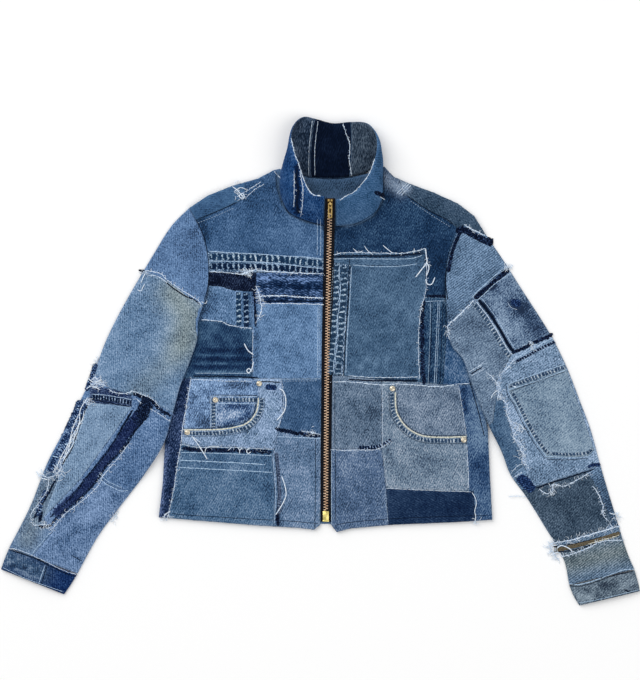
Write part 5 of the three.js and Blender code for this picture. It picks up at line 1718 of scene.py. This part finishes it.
# Folds and stitched lines worn pale: width, line
WORN_LINES = [
    (2.0, [(-178, 175.5), (-142, 173), (-100, 171), (-60, 168), (-20, 166), (5, 163)]),
    (1.7, [(-178, 160), (-100, 158), (-60, 155), (-20, 150), (5, 147.5)]),
    (1.2, [(0, 226), (0.5, 200), (0, 168)]), (1.2, [(-5, 226), (-5, 200), (-5.5, 170)]),
    (1.2, [(-4, 88), (-4.5, 30), (-5, -26)]),
    (1.2, [(-108, -28.5), (-60, -29), (0, -28.5)]),
    (1.6, [(-223, -146), (-150, -148), (-77, -151.5)]),
    (2.0, [(-225, -158.5), (-150, -162), (-88, -165.5)]),
    (1.8, [(-227, -170), (-150, -174), (-77, -178)]),
    (1.3, [(-76, -152), (-74, -179), (-72, -213), (-74, -260)]),
    (1.6, [(-70, -121), (-40, -122), (0, -124)]),
    (1.2, [(-200, -19.5), (-150, -19.5), (-112, -20)]),
    (1.3, [(-177, -56), (-140, -56), (-101, -57)]),
    (1.3, [(-166, -68), (-135, -68), (-101, -68.5)]),
    (1.3, [(-176.5, -58), (-176, -85), (-176, -108)]), (1.2, [(-166, -68), (-166, -108)]),
    (1.6, [(21, 163), (53, 163.5), (126, 163), (150, 165), (162, 169)]),
    (1.5, [(52, 153.5), (90, 151), (126, 151.5), (155, 155.5)]),
    (1.6, [(49.5, 150), (47, 100), (43, 40), (40.5, -20)]),
    (1.3, [(188, 94), (185.5, 40), (182, -36)]), (0.9, [(191, 94), (188.5, 40), (185, -36)]),
    (0.8, [(176, 94), (175, 40), (172, -36)]), (1.2, [(168, 95), (184, 96), (200, 96)]),
    (1.3, [(17.6, -144), (17.4, -200), (17.8, -262)]),
    (1.5, [(-356, -183), (-345, -195), (-330, -203), (-320, -208), (-308, -207)]),
    (1.3, [(-354, -178), (-343, -190), (-329, -197.5), (-318, -202)]),
    (1.3, [(-461, -310), (-455, -300), (-447, -292), (-440, -283), (-432, -275)]),
    (1.5, [(-366, -53), (-340, -55), (-302, -61.5)]),
    (1.4, [(-374, -76), (-386, -115), (-406, -155), (-421, -195), (-441, -245)]),
    (1.2, [(-392, -98), (-412, -138), (-428, -170)]), (1.1, [(-399, -102), (-421, -150)]),
    (1.0, [(-405, -118), (-426, -160)]),
    (1.5, [(241, 101), (253, 113), (270, 128.5), (285, 142.5), (298, 151.5)]),
    (1.7, [(250, 97), (262, 107), (275, 120), (285, 128), (305, 141)]),
    (1.8, [(310, 4.5), (330, 14), (350, 26), (372, 37)]),
    (1.7, [(299, -37), (330, -26), (360, -15), (391, -5)]),
    (1.4, [(300, -46), (330, -37), (360, -27), (393, -14)]),
    (1.7, [(299, -38), (303, -55), (312, -68), (325, -95), (345, -130), (361, -153)]),
    (1.7, [(361, -153), (395, -154), (427, -152), (439, -143)]),
    (1.8, [(398, -356), (415, -357), (440, -350), (465, -341), (485, -334), (501, -333)]),
    (1.5, [(-440, -326), (-445, -340), (-450, -355)]),
    (1.1, [(412, -387), (445, -381), (508, -366)]),
    (1.1, [(-508, -330), (-470, -348), (-411, -369)]),
]
DIAGONAL_WEAR = [
    (1.3, [(-93, -62), (-80, -74), (-68, -90)]), (1.3, [(-90, -54), (-78, -64), (-65, -78)]),
    (1.3, [(-94, -74), (-84, -86), (-74, -100)]), (1.2, [(-86, -48), (-70, -62)]),
    (1.2, [(-128, -128), (-112, -112)]), (1.2, [(-112, -130), (-98, -114)]),
    (1.2, [(247, 109), (262, 122), (280, 137), (296, 147)]),
    (1.4, [(31, 154), (28, 120), (31, 95), (26, 60), (28, 30), (21, -4), (22, -20)]),
    (1.4, [(29, 150), (32, 110), (26, 85), (28, 50), (23, 20), (25, -10)]),
]
# Dark lines: unfaded indigo in deep seams and dark strips, and painted shadow in folds, at the foot
# of the collar, along the right armhole and beside the hem patch and the sleeve pocket: width, line
DARK_LINES = [
    (1.6, [(-198, 226), (-175, 235.5), (-152, 245), (-134, 254)]),
    # painted shadow where the right sleeve meets the body
    (1.6, [(-200, 227), (-190, 208), (-184, 190), (-180, 168), (-178.5, 145), (-180, 118),
           (-186, 97)]),
    (3.6, [(-97, 95.8), (-50, 96), (5, 95)]),
    (6.5, [(-107.5, 140), (-106, 112), (-104.5, 80), (-104, 55)]),
    (3.4, [(-204, -24), (-150, -24.5), (-112, -26), (-98, -28)]),
    (2.6, [(-96, -33), (-84, -33), (-64, -34)]),
    (10, [(-73, -108), (-55, -112), (-35, -116), (-10, -119), (0, -120)]),
    (9.5, [(-221, -139), (-194, -142.5), (-135, -143), (-78, -146)]),
    # painted shadow beside the hem patch's right edge
    (1.8, [(-73, -146), (-70, -179), (-68, -213), (-70, -240)]), (8, [(-70, -240), (-68, -264)]),
    (1.4, [(-238, -244), (-200, -247), (-103, -253), (-60, -255), (-36, -257), (-3, -260)]),
    (1.3, [(-8, -125), (-8, -200), (-9, -258)]), (2, [(-9, -258), (-9, -269)]),
    (1.6, [(-171, -54.5), (-140, -54.5), (-101, -55)]),
    (2.2, [(46.5, 163), (44, 100), (39.5, 30), (37, -24)]),
    (3.6, [(45, -29.5), (90, -31.5), (156, -31)]),
    (10, [(166, 97), (163, 70), (163, 30), (163, -5), (166, -38)]),
    (6.5, [(168, 103), (185, 103.5), (201, 103)]),
    (3.4, [(24, 167.5), (60, 168.3), (110, 168), (160, 172.5)]),
    (1.3, [(23, -42), (23, -138)]), (1.3, [(24, -146), (24, -256)]),
    (1.3, [(178.5, 94), (177, 40), (174, -36)]), (1.3, [(196, 94), (194, 40), (191.5, -36)]),
    (1.4, [(22, -263), (48, -258), (117, -252), (216, -248), (268, -247)]),
    (2.4, [(202, 150), (200, 128), (203, 98)]),
    (1.7, [(140, 263), (162, 248), (180, 237), (199, 228), (212, 220)]),
    (2.4, [(238, -30), (252, -80), (262, -120)]),
    (3.6, [(-37, 305), (-39, 290), (-34.5, 272), (-38, 255), (-35, 236)]),
    # the two neck seam lines: painted shadow at the foot of the collar
    (0.9, [(-62, 258), (-55, 243), (-47, 235), (-22, 224), (0, 218)]),
    (0.9, [(23, 215), (44, 216), (62, 222), (81, 233), (92, 243), (97, 257)]),
    (1.8, [(-22, 294), (15, 291.5), (52, 294)]),
    (10, [(86, 270), (103, 263)]),
    (1.8, [(-14, 297), (-13.5, 340), (-8.5, 384)]),
    (3.2, [(-248, 126), (-220, 106), (-200, 97), (-193, 90)]),
    (9, [(-300, -51), (-283, -58), (-270, -64), (-258, -75), (-248, -83), (-238, -86)]),
    (10, [(-297, -80), (-286, -86)]),
    (7, [(-275, -86), (-297, -112), (-314, -138), (-340, -165), (-360, -193), (-384, -219),
         (-410, -240), (-430, -260)]),
    (5.5, [(-300, -78), (-319, -110), (-338, -142), (-370, -182), (-402, -222), (-432, -250)]),
    (4, [(-373, -70), (-385, -102), (-397, -138), (-413, -166)]),
    (5.5, [(-424, -190), (-436, -213), (-452, -240), (-458, -252)]),
    (6, [(-428, -262), (-440, -265), (-452, -263)]),
    (2.2, [(-365, -61.5), (-345, -65.5), (-305, -73)]),
    (9, [(-446, -240), (-449, -258)]), (5, [(-291, 145), (-281, 144)]),
    (2.4, [(-497, -302.5), (-460, -314), (-410, -338.5), (-391, -344.5)]),
    (2, [(-436, -325), (-441, -340), (-446, -356)]),
    (1.8, [(-397, -311), (-388, -316), (-381, -320)]),
    (9, [(306, 12), (325, 21), (350, 33), (372, 43)]),
    # painted shadow just outside the sleeve pocket's edges
    (1.4, [(296, -39), (300, -56), (309, -70), (322, -97), (342, -132), (359, -156)]),
    (1.4, [(361, -157), (395, -158), (428, -155)]), (1.4, [(302, -49), (345, -33), (391, -17)]),
    (2.8, [(240, -20.5), (258, -10)]),
    (3.4, [(345, -203), (390, -188), (438, -173)]),
    (2.2, [(398, -359), (415, -360), (440, -353), (465, -344), (500, -336)]),
    (4, [(485, -366), (495, -369)]),
    (3, [(374, -306), (410, -301), (450, -288), (478, -279)]),
    (2, [(372, -297), (410, -291), (450, -281)]),
]
# Wide strips of other cloth, and a slate strip of painted shadow beside the hem patch: finish,
# width, line
WIDE_STRIPS = [
    ("navy_strip", 13, [(-88, -41), (-79, -42), (-70, -43)]),
    ("navy_strip", 22, [(317, -184), (328, -195), (340, -208)]),
    ("navy_strip", 8, [(427, -170), (437, -166), (448, -166)]),
    # painted shadow beside the hem patch's right edge
    ("slate_strip", 7, [(-70, -146), (-67, -179), (-65, -213), (-66, -245)]),
    ("torn_strip", 21, [(-379, -64), (-391, -92), (-409, -132), (-425, -166), (-430, -178)]),
    ("torn_strip", 12, [(-438, -206), (-446, -224), (-453, -248)]),
    ("dark_strip", 26, [(-274, -64), (-284, -78), (-300, -100)]),
    ("navy_strip", 17, [(305, 96), (320, 90)]),
    ("band_strip", 25, [(-288, -82), (-308, -110), (-327, -138), (-355, -172), (-381, -206),
                          (-407, -230), (-424, -247)]),
    ("torn_strip", 9, [(-359, -4), (-366, -26), (-374, -48)]),
    ("dark_strip", 15, [(220, 203), (226, 210), (246, 201), (262, 193), (276, 188)]),
    ("dark_strip", 9, [(223, 205), (215, 188), (209.5, 170), (206, 152), (204, 142)]),
    ("dark_strip", 12, [(246, 100), (262, 113), (278, 127), (301, 147)]),
    ("brown", 10, [(374, -303), (400, -297), (440, -287), (480, -275)]),
]
# Roped seams: finish, width, line
ROPED_SEAMS = [
    ("rope_blue", 14, [(-177, 167.5), (-100, 164.5), (-40, 160.5), (4, 155.5)]),
    ("rope_navy", 13, [(-177, 151.5), (-100, 150), (-40, 147), (4, 143.5)]),
    ("rope_blue", 10.5, [(-131.5, 110), (-131, 85), (-130.5, 57)]),
    ("rope_navy", 10.5, [(-120, 109), (-119, 85), (-118.5, 55)]),
    ("rope_soft", 11, [(26, 156), (25, 110), (22, 60), (18, 10), (14, -22)]),
    ("rope_soft", 12, [(38.5, 152), (37, 110), (33.5, 60), (30, 10), (27.5, -22)]),
    ("rope_grey", 8, [(-164, -62), (-135, -62), (-103, -62.5)]),
    ("rope_grey", 8, [(-171, -60), (-171, -85), (-171, -106)]),
    ("rope_fine", 9, [(-366, -57.5), (-340, -60), (-303, -67)]),
    ("rope_fine", 6, [(312, -1), (330, 8), (350, 19), (375, 31)]),
    ("rope_grey", 7, [(300, -41.5), (345, -25.5), (392, -9.5)]),
    ("rope_fine", 8, [(60, -138.5), (85, -138), (102, -133), (114, -125)]),
    ("rope_grey", 7, [(305.5, -50), (316, -67), (329, -94), (348, -127), (364, -148)]),
    ("rope_grey", 6, [(368, -148), (396, -149), (425, -147), (434, -140)]),
]
# Loose threads: radius, line
LOOSE_THREADS = [
    (0.8, [(-372, -58), (-384, -78), (-386, -100), (-398, -122), (-404, -146), (-412, -160)]),
    (0.7, [(-378, -70), (-380, -92), (-392, -112), (-396, -134), (-408, -150)]),
    (0.7, [(-386, -84), (-396, -108), (-402, -130), (-414, -152), (-424, -176)]),
    (0.6, [(-384, -96), (-391, -118), (-405, -140), (-410, -156)]),
    (0.95, [(-66, -44), (-59, -49), (-55.5, -63), (-58, -80), (-70, -95)]),
    (0.9, [(-62, -184), (-57, -199), (-55, -213), (-59, -225), (-66, -237), (-72, -246)]),
    (0.95, [(-122, 28), (-116, 17), (-107, 10)]),
    (0.9, [(-107, -1), (-110, -13), (-115, -19), (-118, -15), (-114, -12), (-110, -17)]),
    (0.9, [(-205, -121), (-194, -136), (-181, -157)]), (0.6, [(-206, -120), (-192, -130)]),
    (0.6, [(-185, -149), (-183, -140), (-175, -136.5), (-162, -136.5)]),
    (0.7, [(-129.5, -148), (-129.5, -142), (-132.5, -138)]), (0.7, [(-129, -143), (-125, -138)]),
    (0.8, [(-113, -139), (-118, -143), (-116, -148), (-111, -145)]),
    (0.6, [(-142, -138), (-148, -143)]),
    (0.6, [(-137, 281), (-136, 287), (-130, 289)]), (0.8, [(-141, 279), (-132, 272), (-124, 262)]),
    (0.9, [(-126, 258), (-122, 262), (-124, 268), (-130, 264), (-126, 259)]),
    (0.7, [(-138, 271), (-128, 277), (-118, 274)]),
    (1.0, [(168, 180), (169, 168), (170, 158), (162, 147), (152, 134)]),
    (0.9, [(170, 158), (173, 150), (172, 143), (169, 136)]),
    (0.9, [(168, 131), (171, 123), (178, 123), (183, 134)]),
    (0.7, [(100, 185), (108, 178), (116, 172)]), (0.6, [(70, 184), (76, 176), (84, 170)]),
    (0.7, [(150, 180), (149, 172)]), (0.6, [(52, 180), (60, 174), (68, 176)]),
    (0.6, [(242, -210), (247, -218), (249, -228), (246.5, -240), (248, -250), (245, -262)]),
    (0.7, [(301, -217), (313, -216), (329, -217)]),
    (0.8, [(-280, 140), (-284, 133), (-287, 125)]),
    (0.7, [(-281, 123), (-284, 118), (-287, 112), (-293, 114)]),
    (0.9, [(378, -300), (385, -295), (398, -300), (403, -306)]),
    (0.7, [(363, -288), (368, -294), (378, -295)]), (0.7, [(370, -310), (380, -306), (388, -314)]),
    (0.8, [(462, -243), (470, -245), (478, -242)]),
    (0.7, [(-246, -243), (-256, -256)]), (0.7, [(-240, -240), (-250, -246)]),
    (0.8, [(-372, -28), (-362, -34), (-350, -30)]), (0.7, [(-376, -46), (-366, -40), (-352, -46)]),
    (0.8, [(-455, -176), (-448, -186), (-436, -190)]), (0.7, [(-448, -172), (-442, -184)]),
    (0.7, [(318, -100), (324, -108), (320, -116)]), (0.7, [(284, -46), (276, -52), (272, -60)]),
    (0.8, [(-190, 95), (-184, 92), (-181, 97)]), (0.6, [(95, 262), (103, 258)]),
]
# Tangles of weft ends: place, spread, how many
TANGLES = [
    ((-133, 270), 5, 9), ((-125, 261), 3, 7), ((-114, 141), 6, 22), ((-97, 100), 4, 12),
    ((-356, -34), 8, 16), ((-372, -66), 6, 14), ((-388, -100), 6, 14), ((-420, -180), 8, 18),
    ((-440, -262), 6, 12), ((-330, -252), 5, 10), ((-283, 143), 5, 10), ((204, 47), 4, 12),
    ((300, 150), 5, 14), ((338, 24), 5, 12), ((288, -55), 5, 12), ((316, -106), 6, 14),
    ((323, -150), 6, 12), ((372, -205), 6, 16), ((374, -300), 7, 18), ((474, -250), 5, 12),
    ((170, 156), 4, 10), ((162, 84), 3, 8), ((-246, -250), 5, 10), ((249, -256), 4, 8),
    ((452, -240), 4, 10), ((-14, -115), 5, 10),
]
STITCH_ROWS = [
    ("pale", [(-108, -31.5), (-60, -32), (-2, -31.5)]),
    ("pale", [(-1.5, 88), (-2, 30), (-2.5, -25)]),
    ("pale", [(103, -209), (108, -258)]), ("pale", [(20, 150), (15, 60), (12, -20)]),
    ("pale", [(310, -54), (320, -69), (333, -95), (352, -128), (366, -144)]),
    ("pale", [(366, -144), (396, -145), (423, -143), (431, -138)]),
    ("pale", [(-196, 221), (-172, 230), (-135, 246)]),
    ("pale", [(144, 256), (181, 231), (210, 213)]),
    ("pale", [(-100, -144), (-80, -146)]),
    ("cream", [(-206, -116), (-182, -116), (-160, -115), (-138, -112)]),
]


def lay_trims(ground):
    """Seams first, and then the threads that lie over them."""
    finishes = {
        "raw_edge": (raw_cotton("frayed undyed weft", "#86a8d6", "#e6f3ff"), "light_denim"),
        "weft_end": (raw_cotton("loose weft ends", "#b4cff0", "#eef7ff"), "light_denim"),
        "worn_line": (raw_cotton("fold worn pale", "#5a80ae", "#c3dcf3"), "light_denim"),
        # dark_seam: near-black for unfaded indigo in seams, and painted shadow in folds and under
        # raised edges
        "dark_seam": (raw_cotton("unfaded indigo and painted shadow in a seam", "#01040c", "#0d1a30"), "navy_denim"),
        "dark_strip": (denim("near black seam allowance", "#03081a", "#0c1831", "#2a3d5e",
                             wear=0), "navy_denim"),
        "band_strip": (denim("navy seam band", "#0e1a3c", "#1b2a52", "#34456c", wear=0),
                       "navy_denim"),
        # painted shadow: a soft slate band beside the hem patch's edge
        "slate_strip": (denim("slate painted shadow band", "#2f3d57", "#4c5b76", "#6c7c95", wear=0),
                        "navy_denim"),
        "torn_strip": (denim("torn streaked denim", "#0c1e3e", "#26406a", "#7f9bc0", wear=0,
                             speckle=1.1, streak=1.0), "mid_denim"),
        "navy_strip": (denim("small navy piece", "#0a1938", "#1a3159", "#3d5988", wear=0),
                       "navy_denim"),
        "brown": (raw_cotton("frayed brown warp", "#14171d", "#6a614f", 1.6), "dark_denim"),
        "cream": (raw_cotton("cream pocket edge", "#8f9585", "#e9e8d8"), "light_denim"),
        "pale": (raw_cotton("pale blue topstitch", "#7f9cbc", "#b9cde0"), "light_denim"),
        "rope_blue": (roped_seam("roped blue seam", "#1c3a5c", "#40607f", "#a3bccf"), "mid_denim"),
        "rope_navy": (roped_seam("roped navy seam", "#0d2242", "#2a4769", "#8ba6c0"), "navy_denim"),
        "rope_soft": (roped_seam("soft roped strip", "#28435f", "#4c6884", "#92abc2", edge=0.2),
                      "mid_denim"),
        "rope_fine": (roped_seam("finely roped seam", "#0a1a36", "#243c60", "#86a0c0", 4.6),
                      "navy_denim"),
        "rope_grey": (roped_seam("roped grey seam", "#34506f", "#7288a3", "#b2c1cd", 5.5),
                      "grey_denim"),
    }
    trims = {}

    def trim(finish, line):
        side = "right" if np.mean([point[0] for point in line]) < 8 else "left"
        return trims.setdefault((finish, side), Trim(f"{finish}_{side}"))

    for finish, width, line in WIDE_STRIPS:
        trim(finish, line).strip(line, width, 0.3, ragged=0.08, taper=0.08)
    for width, line in DARK_LINES:
        finish = "dark_strip" if width > 5 else "dark_seam"
        trim(finish, line).strip(line, width, 0.4, ragged=0.3, taper=0.7)
    for finish, width, line in ROPED_SEAMS:
        trim(finish, line).strip(line, width, 0.7, ragged=0.08)
    for width, line in WORN_LINES + DIAGONAL_WEAR:
        trim("worn_line", line).strip(line, width, 0.55, ragged=0.35)
    for width, reach, apart, line in RAW_EDGES:
        trim("raw_edge", line).strip(line, width, 0.8, ragged=0.6)
        if reach:
            trim("weft_end", line).fray(line, apart, reach)
    for curve, outward in ((POCKET_CURVE_RIGHT, 1), (POCKET_CURVE_LEFT, -1)):
        lip = curve[1:-1] + [curve[-1]]
        trim("cream", lip).strip(lip, 2.8, 0.9, ragged=0.15)
        # a dark line of painted shadow under the pocket's lip
        trim("dark_seam", lip).strip(beside(lip, -2.6 * outward), 1.5, 0.3, ragged=0.3)
        trim("rope_grey", lip).strip(beside(lip, 5.6 * outward), 7.5, 0.6)
        trim("dark_seam", lip).strip(beside(lip, 10.2 * outward), 1.4, 0.3, ragged=0.5)
    seam = [(246, 92), (262, 72), (275, 52), (285, 35), (295, 18), (303, 8)]
    trim("rope_grey", seam).strip(beside(seam, -1), 7.5, 0.6)
    trim("raw_edge", seam).strip(beside(seam, 4), 1.6, 0.6, ragged=0.2)
    trim("dark_seam", seam).strip(beside(seam, 9), 7.5, 0.3, ragged=0.1)
    trim("worn_line", seam).strip(beside(seam, 14), 1.3, 0.5, ragged=0.3)
    for radius, line in LOOSE_THREADS:
        trim("weft_end", line).thread(line, radius, (0.5, 1.6, 0.9, 1.7, 0.5))
    for place, spread, count in TANGLES:
        ends = trim("weft_end", [place])
        for _ in range(count):
            start = np.array(place) + ends.rand.normal(0, spread * 0.6, 2)
            turn = ends.rand.random() * 2 * math.pi
            bend = ends.rand.normal(0, 0.9)
            reach = spread * (0.6 + ends.rand.random())
            way = [np.array([math.cos(a), math.sin(a)]) for a in (turn, turn + bend)]
            middle = start + way[0] * reach * 0.6
            ends.thread([start, middle, middle + way[1] * reach * 0.6],
                        0.34 + 0.2 * ends.rand.random(), (0.3, 1.4, 0.6), sides=3, pace=reach / 4)
    trim("cream", [(400, 0)]).strip([(428, -293), (452, -286), (478, -279)], 2.6, 0.7, ragged=0.6)
    for finish, line in STITCH_ROWS:
        trim(finish, line).stitches(line)
    for (finish, side), made in trims.items():
        material, slot = finishes[finish]
        made.finish(material, slot, ground)


# ------------------------------------------------------------------ floor, light and camera

VIEW_WIDTH = 1.024       # of the floor that the camera takes in, in metres
CAMERA_HEIGHT = 7.0
SENSOR = 36
CAMERA_ASIDE = (-0.0008, 0.0339)   # from the middle of the jacket's box, in metres
ROOM_LIGHT = 0.47
LAMPS = [("key", (-3.2, 3.4, 4.6), 280), ("fill", (4.0, -1.8, 4.6), 132)]    # metres, watts
LAMP_SIZE = 7.0


def make_studio():
    middle = (cad_low + cad_high) / 2
    bpy.ops.mesh.primitive_plane_add(size=12, location=(middle.x, middle.y, -0.0006))
    floor = bpy.context.object
    floor.name = "studio_floor"
    material, tree = new_material("matt white studio paper")
    shader = node(tree, "ShaderNodeBsdfPrincipled",
                  {"Base Color": linear("#ffffff"), "Roughness": 0.95})
    node(tree, "ShaderNodeOutputMaterial", links={"Surface": shader.outputs[0]})
    floor.data.materials.append(material)
    world = bpy.data.worlds.new("soft white room")
    bpy.context.scene.world = world
    world.use_nodes = True
    world.node_tree.nodes["Background"].inputs["Color"].default_value = (1, 1, 1, 1)
    world.node_tree.nodes["Background"].inputs["Strength"].default_value = ROOM_LIGHT
    for name, place, power in LAMPS:
        light = bpy.data.lights.new(name, "AREA")
        light.shape = "DISK"
        light.size = LAMP_SIZE
        light.energy = power
        lamp = bpy.data.objects.new(name, light)
        lamp.location = place
        aim = Vector((middle.x, middle.y, 0)) - Vector(place)
        lamp.rotation_euler = aim.to_track_quat("-Z", "Y").to_euler()
        bpy.context.scene.collection.objects.link(lamp)
    eye = bpy.data.cameras.new("camera")
    eye.sensor_fit = "HORIZONTAL"
    eye.sensor_width = SENSOR
    eye.lens = SENSOR * CAMERA_HEIGHT / VIEW_WIDTH
    eye.clip_end = 50
    camera = bpy.data.objects.new("camera", eye)
    camera.location = (middle.x + CAMERA_ASIDE[0], middle.y + CAMERA_ASIDE[1], CAMERA_HEIGHT)
    bpy.context.scene.collection.objects.link(camera)
    bpy.context.scene.camera = camera
    bpy.context.scene.view_settings.view_transform = "Standard"


make_studio()
make_body()
make_sleeves()
make_collar()
make_zip()
ground = cloth_ground()
make_rivets(ground)
lay_trims(ground)
